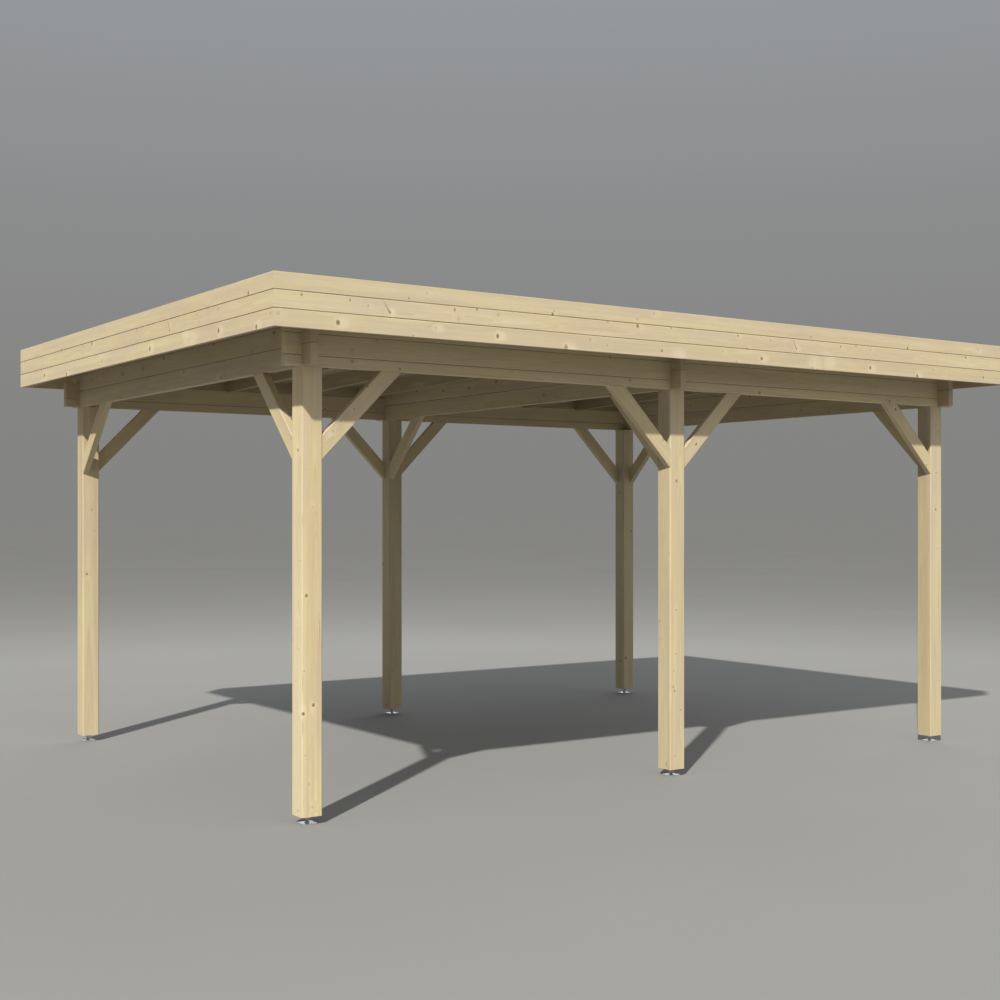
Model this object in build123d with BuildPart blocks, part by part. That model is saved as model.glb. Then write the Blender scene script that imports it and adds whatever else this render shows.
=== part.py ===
from build123d import *
import os

# Open timber carport: six posts on adjustable steel feet, log-plank beams that cross and interlock
# over the posts, knee braces, sloping rafters, a boarded roof under felt and a three-board fascia.
# Millimetres, Z up. Origin on the ground under the middle of the carport.
# The open front looks along -X, the right-hand side is -Y and the left-hand side is +Y.

os.makedirs("parts", exist_ok=True)

# Frame, over the outer faces of the posts
frame_length = 5120
frame_width = 3580
beam_bottom = 2410

# Posts
post_side = 120
post_chamfer = 6

# Adjustable steel feet
foot_height = 45
foot_plate_side = 80
foot_plate_thickness = 6
foot_plate_corner = 5
foot_hole_spacing = 56
foot_hole_diameter = 9
foot_stem_diameter = 20
foot_nut_width = 30
foot_nut_height = 14
foot_washer_diameter = 60
foot_washer_thickness = 4

# Log planks, where a course is the height that one whole plank covers
plank_thickness = 44
course = 115
plank_bevel = 3
tongue_width = 8
tongue_height = 7
tongue_spacing = 18
tongue_clearance = 0.5
lap_clearance = 0.3
beam_overrun = 98

# Knee braces at 45 degrees
brace_width = 90
brace_thickness = 44
brace_leg = 485
brace_bevel = 3

# Rafters and verge rafters
rafter_thickness = 44
rafter_depth = 95
rafter_spacing = 572
rafters_in_bay = 4
roof_fall = 0.025
left_seat_depth = 12.5
right_seat_depth = 2
seat_clearance = 0.5

# Roof boards and felt
roof_board_thickness = 19
roof_board_cover = 96
roof_board_groove = 4
felt_thickness = 3
felt_upstand = 40
felt_strip_gap = 0.5

# Fascia of three grooved boards, mitred at the corners
fascia_overhang = 315
fascia_thickness = 20
fascia_board_height = 92
fascia_top_board_height = 88
fascia_groove_depth = 5
fascia_bevel = 2

# Places that follow from the sizes
half_length = frame_length / 2
half_width = frame_width / 2
half_plank = plank_thickness / 2
half_course = course / 2
lap = course / 4
side_beam_y = half_width - half_plank
end_beam_x = half_length - half_plank
post_x = {
    "front": -half_length + post_side / 2,
    "middle": post_side / 2 - half_plank,
    "rear": half_length - post_side / 2,
}
cross_beam_x = {"front": -end_beam_x, "middle": 0, "rear": end_beam_x}
side_sign = {"right": -1, "left": 1}
roof_half_length = half_length + fascia_overhang
roof_half_width = half_width + fascia_overhang
deck_half_length = roof_half_length - fascia_thickness
deck_half_width = roof_half_width - fascia_thickness
right_beam_top = beam_bottom + 5 * half_course
left_beam_top = beam_bottom + 3 * half_course
rafter_places = [
    side * (end_beam_x - rafter_spacing * step)
    for side in (-1, 1)
    for step in range(1, rafters_in_bay + 1)
]
# The rafters sit on the left-hand beam and rise from there to the right; the deck lies on them
rafter_middle = left_beam_top - left_seat_depth + roof_fall * side_beam_y
deck_middle = rafter_middle + rafter_depth
deck_plane = Plane(origin=(0, 0, deck_middle), z_dir=(0, roof_fall, 1))
right_seat = rafter_middle + roof_fall * side_beam_y + right_seat_depth
# The fascia starts level with the rafters' ends on the left
fascia_bottom = rafter_middle - roof_fall * deck_half_width
fascia_top = fascia_bottom + 2 * fascia_board_height + fascia_top_board_height


def deck_underside(y):
    return deck_middle - roof_fall * y


def save(part, name):
    part.label = name
    export_step(part, f"parts/{name}.step")


# Posts, with chamfered corners
for row, x in post_x.items():
    for side, sign in side_sign.items():
        y = sign * (half_width - post_side / 2)
        with BuildPart() as post:
            with BuildSketch(Plane.XY.offset(foot_height)):
                with Locations((x, y)):
                    Rectangle(post_side, post_side)
            extrude(amount=beam_bottom - foot_height)
            chamfer(post.edges().filter_by(Axis.Z), post_chamfer)
        save(post.part, f"post_{row}_{side}")

        # The foot under it: base plate, threaded stem, nut and washer
        with BuildPart() as foot:
            with BuildSketch(Plane.XY) as plate:
                with Locations((x, y)):
                    Rectangle(foot_plate_side, foot_plate_side)
                    chamfer(plate.vertices(), foot_plate_corner)
                    with GridLocations(foot_hole_spacing, foot_hole_spacing, 2, 2):
                        Circle(foot_hole_diameter / 2, mode=Mode.SUBTRACT)
            extrude(amount=foot_plate_thickness)
            with BuildSketch(Plane.XY):
                with Locations((x, y)):
                    Circle(foot_stem_diameter / 2)
            extrude(amount=foot_height)
            with BuildSketch(Plane.XY.offset(foot_height - foot_washer_thickness)):
                with Locations((x, y)):
                    Circle(foot_washer_diameter / 2)
            extrude(amount=foot_washer_thickness)
            with BuildSketch(Plane.XY.offset(foot_height - foot_washer_thickness)):
                with Locations((x, y)):
                    RegularPolygon(foot_nut_width / 2, 6, major_radius=False)
            extrude(amount=-foot_nut_height)
        save(foot.part, f"foot_{row}_{side}")


# Log planks

def cut_necks(along_x, across, crossings, bottom, top):
    # At each crossing only the neck of a plank is left, between the planks that cross it
    notch_length = plank_thickness + 2 * lap_clearance
    for place, neck_bottom, neck_top in crossings:
        for low, high in ((bottom, neck_bottom), (neck_top, top)):
            if high > low:
                middle = (low + high) / 2
                spot = (place, across, middle) if along_x else (across, place, middle)
                size = (notch_length, plank_thickness) if along_x else (plank_thickness, notch_length)
                with Locations(spot):
                    Box(size[0], size[1], high - low, mode=Mode.SUBTRACT)


def log_plank(along_x, across, reach, bottom, top, crossings, grooved=True, tongued=True):
    """A plank that reaches the same way to both ends, bevelled along its edges.

    It has two tongues on top and two grooves below, unless it is the lowest or highest of its beam.
    """
    with BuildPart() as plank:
        with BuildSketch(Plane.YZ if along_x else Plane.XZ) as section:
            with Locations((across, (bottom + top) / 2)):
                Rectangle(plank_thickness, top - bottom)
            chamfer(section.vertices(), plank_bevel)
            tongue_places = [across - tongue_spacing / 2, across + tongue_spacing / 2]
            if tongued:
                with Locations(*[(place, top + tongue_height / 2) for place in tongue_places]):
                    Rectangle(tongue_width, tongue_height)
            if grooved:
                groove_depth = tongue_height + tongue_clearance
                with Locations(*[(place, bottom + groove_depth / 2) for place in tongue_places]):
                    Rectangle(tongue_width + 2 * tongue_clearance, groove_depth, mode=Mode.SUBTRACT)
        extrude(amount=reach, both=True)
        cut_necks(along_x, across, crossings, bottom, top + (tongue_height if tongued else 0))
    return plank.part


# Side beams: the lowest plank is half a course, so the two directions are staggered by half a course
side_reach = half_length + beam_overrun
for side, sign in side_sign.items():
    across = sign * side_beam_y
    highest = 3 if side == "right" else 2
    for number in range(1, highest + 1):
        bottom = beam_bottom + max(0, 2 * number - 3) * half_course
        top = beam_bottom + (2 * number - 1) * half_course
        neck_bottom = bottom if number == 1 else bottom + lap
        crossings = [(x, neck_bottom, top - lap) for x in cross_beam_x.values()]
        plank = log_plank(
            True, across, side_reach, bottom, top, crossings, grooved=number > 1, tongued=number < highest
        )
        if number == 3:
            with BuildPart() as pocketed:
                add(plank)
                pocket_width = rafter_thickness + 2 * seat_clearance
                pocket_depth = top - right_seat
                with Locations(*[(x, across, top - pocket_depth / 2) for x in rafter_places]):
                    Box(pocket_width, plank_thickness, pocket_depth, mode=Mode.SUBTRACT)
            plank = pocketed.part
        save(plank, f"beam_{side}_{number}")

# Cross beams: two whole planks, and a third that is cut to the fall of the roof
cross_reach = half_width + beam_overrun
for row, across in cross_beam_x.items():
    first = log_plank(
        False,
        across,
        cross_reach,
        beam_bottom,
        beam_bottom + course,
        [(sign * side_beam_y, beam_bottom + lap, beam_bottom + 3 * lap) for sign in (-1, 1)],
        grooved=False,
    )
    save(first, f"beam_{row}_1")
    # On the left no side plank lies over the second plank, so its top is whole there
    second = log_plank(
        False,
        across,
        cross_reach,
        beam_bottom + course,
        beam_bottom + 2 * course,
        [
            (-side_beam_y, beam_bottom + 5 * lap, beam_bottom + 7 * lap),
            (side_beam_y, beam_bottom + 5 * lap, beam_bottom + 2 * course + tongue_height),
        ],
    )
    save(second, f"beam_{row}_2")
    third_bottom = beam_bottom + 2 * course
    third_top = deck_underside(-cross_reach) + plank_bevel
    third = log_plank(
        False,
        across,
        cross_reach,
        third_bottom,
        third_top,
        [(-side_beam_y, beam_bottom + 9 * lap, third_top)],
        tongued=False,
    )
    with BuildPart() as fitted:
        add(third)
        split(bisect_by=deck_plane, keep=Keep.BOTTOM)
    save(fitted.part, f"beam_{row}_3")


# Knee braces

def brace_face(post_face, direction):
    # A band at 45 degrees from the post's face up to the underside of the beam
    inner_leg = brace_leg - brace_width * 2**0.5
    Polygon(
        (post_face, beam_bottom - brace_leg),
        (post_face + direction * brace_leg, beam_bottom),
        (post_face + direction * inner_leg, beam_bottom),
        (post_face, beam_bottom - inner_leg),
        align=None,
    )


brace_inset = brace_thickness / 2
brace_x = {"front": -half_length + brace_inset, "middle": 0, "rear": half_length - brace_inset}
brace_directions = {"front": (1,), "middle": (-1, 1), "rear": (-1,)}
for row, x in post_x.items():
    for side, sign in side_sign.items():
        with BuildPart() as braces:
            for direction in brace_directions[row]:
                with BuildSketch(Plane.XZ.offset(-sign * (half_width - brace_inset))):
                    brace_face(x + direction * post_side / 2, direction)
                extrude(amount=brace_inset, both=True)
            with BuildSketch(Plane.YZ.offset(brace_x[row])):
                brace_face(sign * (half_width - post_side), -sign)
            extrude(amount=brace_inset, both=True)
            chamfer(braces.edges().filter_by(lambda edge: edge.length > 2 * brace_width), brace_bevel)
        save(braces.part, f"braces_{row}_{side}")


# Rafters, and the verge rafters that carry the ends of the roof boards

def sloping_face(low, high):
    # A strip across the roof, from low to high above the underside of the deck
    left = deck_underside(deck_half_width)
    right = deck_underside(-deck_half_width)
    Polygon(
        (-deck_half_width, right + low),
        (deck_half_width, left + low),
        (deck_half_width, left + high),
        (-deck_half_width, right + high),
        align=None,
    )


for row, sign in (("front", -1), ("rear", 1)):
    with BuildPart() as rafters:
        for x in rafter_places:
            if x * sign > 0:
                with BuildSketch(Plane.YZ.offset(x)):
                    sloping_face(-rafter_depth, 0)
                    # Level seats over the two side beams
                    for y, seat in ((-side_beam_y, right_seat), (side_beam_y, left_beam_top)):
                        with Locations((y, seat - rafter_depth / 2)):
                            Rectangle(plank_thickness + 2 * seat_clearance, rafter_depth, mode=Mode.SUBTRACT)
                extrude(amount=rafter_thickness / 2, both=True)
    save(rafters.part, f"rafters_{row}")

    with BuildPart() as verge_rafter:
        with BuildSketch(Plane.YZ.offset(sign * (deck_half_length - rafter_thickness / 2))):
            sloping_face(-rafter_depth, 0)
        extrude(amount=rafter_thickness / 2, both=True)
    save(verge_rafter.part, f"verge_rafter_{row}")

# Eaves blocks close the gaps between rafters, from the top of each side beam to the deck
for side, sign, block_bottom in (("right", -1, right_beam_top), ("left", 1, left_beam_top)):
    stops = [(x, plank_thickness / 2) for x in cross_beam_x.values()]
    stops += [(x, rafter_thickness / 2) for x in rafter_places]
    stops.sort()
    block_height = deck_underside(-deck_half_width) - block_bottom
    with BuildPart() as eaves_blocks:
        for (low_x, low_half), (high_x, high_half) in zip(stops, stops[1:]):
            start = low_x + low_half + seat_clearance
            end = high_x - high_half - seat_clearance
            with Locations(((start + end) / 2, sign * side_beam_y, block_bottom + block_height / 2)):
                Box(end - start, plank_thickness, block_height)
        split(bisect_by=deck_plane, keep=Keep.BOTTOM)
    save(eaves_blocks.part, f"eaves_blocks_{side}")


# Roof boards, laid lengthwise and grooved at their joints on the underside
with BuildPart() as roof_deck:
    with BuildSketch(Plane.YZ):
        sloping_face(0, roof_board_thickness)
        board_count = int(2 * deck_half_width / roof_board_cover)
        for joint in range(1, board_count + 1):
            y = joint * roof_board_cover - deck_half_width
            Polygon(
                (y - roof_board_groove, deck_underside(y - roof_board_groove)),
                (y + roof_board_groove, deck_underside(y + roof_board_groove)),
                (y, deck_underside(y) + roof_board_groove),
                align=None,
                mode=Mode.SUBTRACT,
            )
    extrude(amount=deck_half_length, both=True)
save(roof_deck.part, "roof_deck")

with BuildPart() as roof_felt:
    with BuildSketch(Plane.YZ):
        sloping_face(roof_board_thickness, roof_board_thickness + felt_thickness)
    extrude(amount=deck_half_length, both=True)
save(roof_felt.part, "roof_felt")

# Felt strips stand on the sheet all round, up the inner faces of the fascia
strip_foot = roof_board_thickness + felt_thickness
strip_inset = felt_thickness / 2
with BuildPart() as felt_upstands:
    for sign in (-1, 1):
        with BuildSketch(Plane.YZ.offset(sign * (deck_half_length - strip_inset))):
            sloping_face(strip_foot, strip_foot + felt_upstand)
        extrude(amount=strip_inset, both=True)
    strip_reach = deck_half_length - felt_thickness - felt_strip_gap
    with BuildSketch(Plane.YZ):
        for sign in (-1, 1):
            outer = sign * deck_half_width
            inner = sign * (deck_half_width - felt_thickness)
            Polygon(
                (outer, deck_underside(outer) + strip_foot),
                (outer, deck_underside(outer) + strip_foot + felt_upstand),
                (inner, deck_underside(inner) + strip_foot + felt_upstand),
                (inner, deck_underside(inner) + strip_foot),
                align=None,
            )
    extrude(amount=strip_reach, both=True)
save(felt_upstands.part, "felt_upstands")


# Fascia

def fascia_face(outer, outward):
    # Upright boards one above another, with a V groove at each joint on the outer face
    inner = outer - outward * fascia_thickness
    Polygon(
        (inner, fascia_bottom),
        (outer - outward * fascia_bevel, fascia_bottom),
        (outer, fascia_bottom + fascia_bevel),
        (outer, fascia_top - fascia_bevel),
        (outer - outward * fascia_bevel, fascia_top),
        (inner, fascia_top),
        align=None,
    )
    for joint in (1, 2):
        z = fascia_bottom + joint * fascia_board_height
        Polygon(
            (outer, z - fascia_groove_depth),
            (outer - outward * fascia_groove_depth, z),
            (outer, z + fascia_groove_depth),
            align=None,
            mode=Mode.SUBTRACT,
        )


for side, sign in side_sign.items():
    with BuildPart() as fascia:
        with BuildSketch(Plane.YZ):
            fascia_face(sign * roof_half_width, sign)
        extrude(amount=roof_half_length, both=True)
        for end in (-1, 1):
            corner = (end * roof_half_length, sign * roof_half_width, 0)
            split(bisect_by=Plane(origin=corner, z_dir=(-end, sign, 0)), keep=Keep.TOP)
    save(fascia.part, f"fascia_{side}")

for row, sign in (("front", -1), ("rear", 1)):
    with BuildPart() as fascia:
        with BuildSketch(Plane.XZ):
            fascia_face(sign * roof_half_length, sign)
        extrude(amount=roof_half_width, both=True)
        for end in (-1, 1):
            corner = (sign * roof_half_length, end * roof_half_width, 0)
            split(bisect_by=Plane(origin=corner, z_dir=(sign, -end, 0)), keep=Keep.TOP)
    save(fascia.part, f"fascia_{row}")
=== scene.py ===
import math

import bpy
import numpy as np
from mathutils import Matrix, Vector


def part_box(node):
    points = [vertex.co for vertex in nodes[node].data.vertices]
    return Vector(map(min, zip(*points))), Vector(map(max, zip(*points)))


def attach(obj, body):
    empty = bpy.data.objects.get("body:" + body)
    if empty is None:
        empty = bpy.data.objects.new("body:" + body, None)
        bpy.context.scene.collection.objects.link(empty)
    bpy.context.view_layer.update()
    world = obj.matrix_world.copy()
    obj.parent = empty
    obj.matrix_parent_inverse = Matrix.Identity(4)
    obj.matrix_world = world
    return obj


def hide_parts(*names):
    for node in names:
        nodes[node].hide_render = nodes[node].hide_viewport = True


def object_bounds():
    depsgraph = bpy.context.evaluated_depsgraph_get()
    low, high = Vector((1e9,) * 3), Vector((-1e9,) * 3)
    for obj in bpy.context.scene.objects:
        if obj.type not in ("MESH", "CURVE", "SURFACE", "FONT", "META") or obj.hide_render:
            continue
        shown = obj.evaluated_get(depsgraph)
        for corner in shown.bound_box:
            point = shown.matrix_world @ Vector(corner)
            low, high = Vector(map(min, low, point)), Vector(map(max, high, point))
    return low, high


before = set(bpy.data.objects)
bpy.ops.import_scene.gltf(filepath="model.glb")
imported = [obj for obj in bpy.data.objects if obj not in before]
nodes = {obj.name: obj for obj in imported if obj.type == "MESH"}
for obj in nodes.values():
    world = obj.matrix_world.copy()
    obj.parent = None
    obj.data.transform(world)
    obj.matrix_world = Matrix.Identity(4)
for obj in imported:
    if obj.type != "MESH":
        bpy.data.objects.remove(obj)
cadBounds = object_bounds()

scene = bpy.context.scene
cadHigh = np.array(cadBounds[1])
rows = ("front", "middle", "rear")
sides = ("right", "left")
sideSign = {"right": -1.0, "left": 1.0}
rowSign = {"front": -1.0, "rear": 1.0}


def boxOf(node):      # the lowest and the highest corner of a CAD node
    low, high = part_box(node)
    return np.array(low), np.array(high)


def centreOf(node):
    low, high = boxOf(node)
    return (low + high) / 2


# Camera, at the place and with the angle of view that the photograph was taken with

cameraValues = {
    "place": (-6.029, -8.661, 1.627),  # metres, eye height of a standing person
    "turn": -34.51,                    # degrees from looking along +Y
    "lens": 52.55,                     # millimetres, as the sensor
    "sensor": 36,
    "shiftY": 0.0155,                  # the horizon lies a little below the middle
    "farEnd": 1500,                    # metres
    "photoWidth": 1000,                # pixels
}
camera = bpy.data.objects.new("camera", bpy.data.cameras.new("camera"))
scene.collection.objects.link(camera)
camera.location = cameraValues["place"]
camera.rotation_euler = (math.radians(90), 0, math.radians(cameraValues["turn"]))
camera.data.lens = cameraValues["lens"]
camera.data.sensor_width = cameraValues["sensor"]
camera.data.shift_y = cameraValues["shiftY"]
camera.data.clip_end = cameraValues["farEnd"]
scene.camera = camera
scene.view_settings.view_transform = "Standard"


def seenAt(u, v, axis, level):
    # The point where the ray behind a pixel of the photograph meets a plane that stands square to one
    # axis: camera place + ray * (level - camera place) / ray, along that axis
    turn = math.radians(cameraValues["turn"])
    ahead = np.array([-math.sin(turn), math.cos(turn), 0.0])
    right = np.array([math.cos(turn), math.sin(turn), 0.0])
    up = np.array([0.0, 0.0, 1.0])
    width = cameraValues["photoWidth"]
    focal = cameraValues["lens"] / cameraValues["sensor"] * width
    horizon = width / 2 + width * cameraValues["shiftY"]
    ray = focal * ahead + (u - width / 2) * right + (horizon - v) * up
    place = np.array(cameraValues["place"])
    return place + ray * (level - place[axis]) / ray[axis]


print("stage: camera")


# Small helpers for node trees

current = {"tree": None}      # the node tree that is being built: newGroup and newMaterial set it


def newNode(kind):
    return current["tree"].nodes.new(kind)


def put(socket, value):      # a socket gets a link or a plain value
    if isinstance(value, bpy.types.NodeSocket):
        current["tree"].links.new(value, socket)
    elif value is not None:
        socket.default_value = value


def calc(operation, first, *others):      # a Math node for each input after the first
    for other in others or (None,):
        node = newNode("ShaderNodeMath")
        node.operation = operation
        put(node.inputs[0], first)
        put(node.inputs[1], other)
        first = node.outputs[0]
    return first


def plus(*inputs):
    return calc("ADD", *inputs)


def minus(*inputs):
    return calc("SUBTRACT", *inputs)


def times(*inputs):
    return calc("MULTIPLY", *inputs)


def hypotenuse(a, b):
    return calc("SQRT", plus(times(a, a), times(b, b)))


def vectorCalc(operation, *inputs, scale=None):      # one Vector Math node
    node = newNode("ShaderNodeVectorMath")
    node.operation = operation
    for socket, value in zip(node.inputs, inputs):
        put(socket, value)
    if scale is not None:
        put(node.inputs["Scale"], scale)
    return node.outputs["Value"] if operation in ("LENGTH", "DOT_PRODUCT") else node.outputs[0]


def between(value, low, high, toLow=0.0, toHigh=1.0, smooth=True):      # clamped Map Range
    node = newNode("ShaderNodeMapRange")
    node.interpolation_type = "SMOOTHSTEP" if smooth else "LINEAR"
    for socket, amount in zip(node.inputs, (value, low, high, toLow, toHigh)):
        put(socket, amount)
    return node.outputs[0]


def mixColour(share, first, second, blend="MIX"):
    node = newNode("ShaderNodeMix")
    node.data_type = "RGBA"
    node.blend_type = blend
    for socket, value in zip((0, 6, 7), (share, first, second)):      # the RGBA sockets of this node
        put(node.inputs[socket], value)
    return node.outputs[2]


def noise(vector, scale=1.0, detail=2.0, roughness=0.5):
    node = newNode("ShaderNodeTexNoise")
    for label, value in (("Vector", vector), ("Scale", scale), ("Detail", detail), ("Roughness", roughness)):
        put(node.inputs[label], value)
    return node.outputs["Fac"]


def cellsOf(vector, scale=1.0, dimensions="3D"):
    node = newNode("ShaderNodeTexVoronoi")
    node.voronoi_dimensions = dimensions
    put(node.inputs["Scale"], scale)
    put(node.inputs["Vector"], vector)
    return node.outputs


def lotOf(number):      # a drawn value and colour for each number
    node = newNode("ShaderNodeTexWhiteNoise")
    node.noise_dimensions = "1D"
    put(node.inputs["W"], number)
    return node.outputs["Value"], node.outputs["Color"]


def attributeOf(name, kind="Fac"):
    node = newNode("ShaderNodeAttribute")
    node.attribute_name = name
    return node.outputs[kind]


def objectPoint():
    return newNode("ShaderNodeTexCoord").outputs["Object"]


def split(vector):
    node = newNode("ShaderNodeSeparateXYZ")
    put(node.inputs[0], vector)
    return node.outputs[0], node.outputs[1], node.outputs[2]


def join(x, y, z):
    node = newNode("ShaderNodeCombineXYZ")
    for socket, value in zip(node.inputs, (x, y, z)):
        put(socket, value)
    return node.outputs[0]


def newGroup(name, inputs, outputs):
    # An empty shader group. An input's kind follows from its first value: 3 numbers are a vector, 4 a colour
    group = bpy.data.node_groups.new(name, "ShaderNodeTree")
    current["tree"] = group
    for label, value in inputs.items():
        kind = "Float" if isinstance(value, float) else {3: "Vector", 4: "Color"}[len(value)]
        socket = group.interface.new_socket(name=label, in_out="INPUT", socket_type="NodeSocket" + kind)
        socket.default_value = value
    for label in outputs:
        kind = "Color" if label == "Colour" else "Float"
        group.interface.new_socket(name=label, in_out="OUTPUT", socket_type="NodeSocket" + kind)
    return group, group.nodes.new("NodeGroupInput").outputs, group.nodes.new("NodeGroupOutput").inputs


def useGroup(group, **values):
    node = newNode("ShaderNodeGroup")
    node.node_tree = group
    for label, value in values.items():
        put(node.inputs[label], value)
    return node.outputs


def newMaterial(name):
    material = bpy.data.materials.new(name)
    material.use_nodes = True
    current["tree"] = material.node_tree
    return material, material.node_tree.nodes["Principled BSDF"]


def addRelief(shader, height, distance, strength=1.0):
    bump = newNode("ShaderNodeBump")
    put(bump.inputs["Distance"], distance)
    put(bump.inputs["Strength"], strength)
    put(bump.inputs["Height"], height)
    put(shader.inputs["Normal"], bump.outputs["Normal"])


# The growth of a softwood board. Points are metres with X along the grain, and the pith is a line
# along X. Rings are the distance from it; knots are cones that start on it.

figureValues = {      # lengths in metres; a scale is patterns per metre along and across the grain
    "seedStep": (3.17, 1.31, 2.23),      # how far one seed moves the patterns
    "wander": 0.022,                     # how far the pith leaves its line
    "wanderScale": (0.8, 5.0, 5.0),
    "wanderOther": (7.7, 3.1, 9.4),      # its second direction is read this far from the first
    "cellLong": 0.30,
    "cellRound": 1.1,                    # radians
    "squash": 0.62,                      # a knot's width as a share of its length
    "knotLeast": 0.0028,
    "knotSpread": 0.0075,
    "taper": 0.006,                      # of the trunk, for each metre
    "ringWidth": 0.0032,
    "bands": 42.0,                       # warm bands in a metre across the rings
    "cloudScale": (1.6, 14.0, 14.0),
    "fibreScale": (9.0, 520.0, 520.0),
    "patchScale": (2.4, 15.0, 15.0),
}
softwoodFigure, given, result = newGroup(
    "softwoodFigure",
    {"Point": (0.0, 0.0, 0.0), "Pith": (0.0, 0.05, 0.05), "Seed": 0.0, "Swirl": 0.0, "KnotShare": 0.5},
    ("Late", "Band", "Fibre", "Knot", "Heart", "Pale", "Cloud"),
)
seedShift = join(*(times(given["Seed"], step) for step in figureValues["seedStep"]))
shifted = vectorCalc("ADD", given["Point"], seedShift)
along, across, depth = split(given["Point"])
shiftedAlong, _, _ = split(shifted)
slow = vectorCalc("MULTIPLY", shifted, figureValues["wanderScale"])
wanderA = minus(noise(slow), 0.5)
wanderB = minus(noise(vectorCalc("ADD", slow, figureValues["wanderOther"])), 0.5)
_, pithY, pithZ = split(given["Pith"])
fromPithY = plus(minus(across, pithY), times(wanderA, figureValues["wander"]))
fromPithZ = plus(minus(depth, pithZ), times(wanderB, figureValues["wander"]))
radius = hypotenuse(fromPithY, fromPithZ)
angle = calc("ARCTAN2", fromPithZ, fromPithY)
# Knots: cells along the grain and round the pith, each with at most one branch in it
cellLong, cellRound = figureValues["cellLong"], figureValues["cellRound"]
knotCell = join(
    calc("DIVIDE", shiftedAlong, cellLong), calc("DIVIDE", plus(angle, 3 * cellRound), cellRound), 0.0)
cells = cellsOf(knotCell, dimensions="2D")
cellX, cellY, _ = split(vectorCalc("SUBTRACT", cells["Position"], knotCell))
chance, girth, _ = split(cells["Color"])
knotHere = calc("LESS_THAN", chance, given["KnotShare"])
knotGap = hypotenuse(times(cellX, cellLong * figureValues["squash"]), times(cellY, cellRound, radius))
# A branch gets thicker with its distance from the pith
thickest = plus(figureValues["knotLeast"], times(calc("POWER", girth, 2.0), figureValues["knotSpread"]))
knotSize = times(thickest, between(radius, 0.0, 0.08, 0.45, 1.25, smooth=False))
knotRatio = calc("DIVIDE", knotGap, knotSize)
ragged = plus(knotRatio, times(wanderA, 0.5))
put(result["Knot"], times(between(ragged, 1.18, 0.82), knotHere))
put(result["Heart"], times(between(ragged, 0.75, 0.25), knotHere))
# The rings bend round a knot: distance from the pith + knot size * exp(-(gap / size) squared * 0.16)
bend = calc("EXPONENT", times(knotRatio, knotRatio, -0.16))
bendWide = times(bend, knotHere, times(knotSize, 1.3))
ringDistance = plus(plus(radius, times(along, figureValues["taper"])), plus(bendWide, given["Swirl"]))
ringCount = calc("DIVIDE", ringDistance, figureValues["ringWidth"])
unevenness = times(noise(join(ringCount, given["Seed"], 0.0), 0.35), 1.6)
unevenRings = plus(ringCount, unevenness)
ringPart = calc("FRACT", unevenRings)
late = times(between(ringPart, 0.30, 0.88), between(ringPart, 1.0, 0.93))
ringStrength = noise(join(calc("FLOOR", unevenRings), given["Seed"], 3.0), 0.9, 0.0)
put(result["Late"], times(late, between(ringStrength, 0.3, 0.7, 0.45, 1.0)))
bandPlace = join(times(ringDistance, figureValues["bands"]), times(along, 0.25), given["Seed"])
put(result["Band"], between(noise(bandPlace, 1.0, 2.0, 0.6), 0.33, 0.67))
for label, scale, detail, roughness in (
    ("Cloud", figureValues["cloudScale"], 3.0, 0.55), ("Fibre", figureValues["fibreScale"], 2.0, 0.65),
):
    scaled = vectorCalc("MULTIPLY", shifted, scale)
    put(result[label], noise(scaled, 1.0, detail, roughness))
halo = times(between(knotRatio, 3.6, 1.2), knotHere)
patchNoise = noise(vectorCalc("MULTIPLY", shifted, figureValues["patchScale"]), 1.0, 1.0)
patches = between(patchNoise, 0.56, 0.84, 0.0, 0.5)
put(result["Pale"], calc("MAXIMUM", times(halo, 0.45), patches))

# One knot at a chosen place: an ellipsoid about Centre, whose axes are Size divided by Stretch. Wobble
# roughens its rim. Glow is how pale the long patch beside it is, whose middle is Lean sizes back along the
# grain. It adds itself to the masks it is given.
chosenKnot, given, result = newGroup(
    "chosenKnot",
    {
        "Point": (0.0, 0.0, 0.0), "Wobble": 0.0, "Centre": (0.0, 0.0, 0.0), "Stretch": (0.8, 1.0, 0.4),
        "Size": 0.006, "Strength": 1.0, "Glow": 0.0, "Lean": 0.0,
        "Swirl": 0.0, "Knot": 0.0, "Heart": 0.0, "Halo": 0.0,
    },
    ("Swirl", "Knot", "Heart", "Halo"),
)
fromCentre = vectorCalc("SUBTRACT", given["Point"], given["Centre"])
offset = vectorCalc("MULTIPLY", fromCentre, given["Stretch"])
ratio = calc("DIVIDE", vectorCalc("LENGTH", offset), given["Size"])
rough = plus(ratio, given["Wobble"])
fall = calc("EXPONENT", times(ratio, ratio, -0.14))
put(result["Swirl"], plus(given["Swirl"], times(fall, times(given["Size"], 1.2))))
leaning = join(times(given["Lean"], given["Size"]), 0.0, 0.0)
besideKnot = vectorCalc("MULTIPLY", vectorCalc("ADD", offset, leaning), (0.50, 0.85, 1.0))
besideRatio = calc("DIVIDE", vectorCalc("LENGTH", besideKnot), given["Size"])
besideRough = plus(besideRatio, times(given["Wobble"], 1.6))
for label, distance, outerEdge, innerEdge, strength in (
    ("Knot", rough, 1.25, 0.8, "Strength"), ("Heart", rough, 0.8, 0.25, "Strength"),
    ("Halo", besideRough, 2.9, 0.7, "Glow"),
):
    mask = times(between(distance, outerEdge, innerEdge), given[strength])
    put(result[label], calc("MAXIMUM", given[label], mask))

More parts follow.
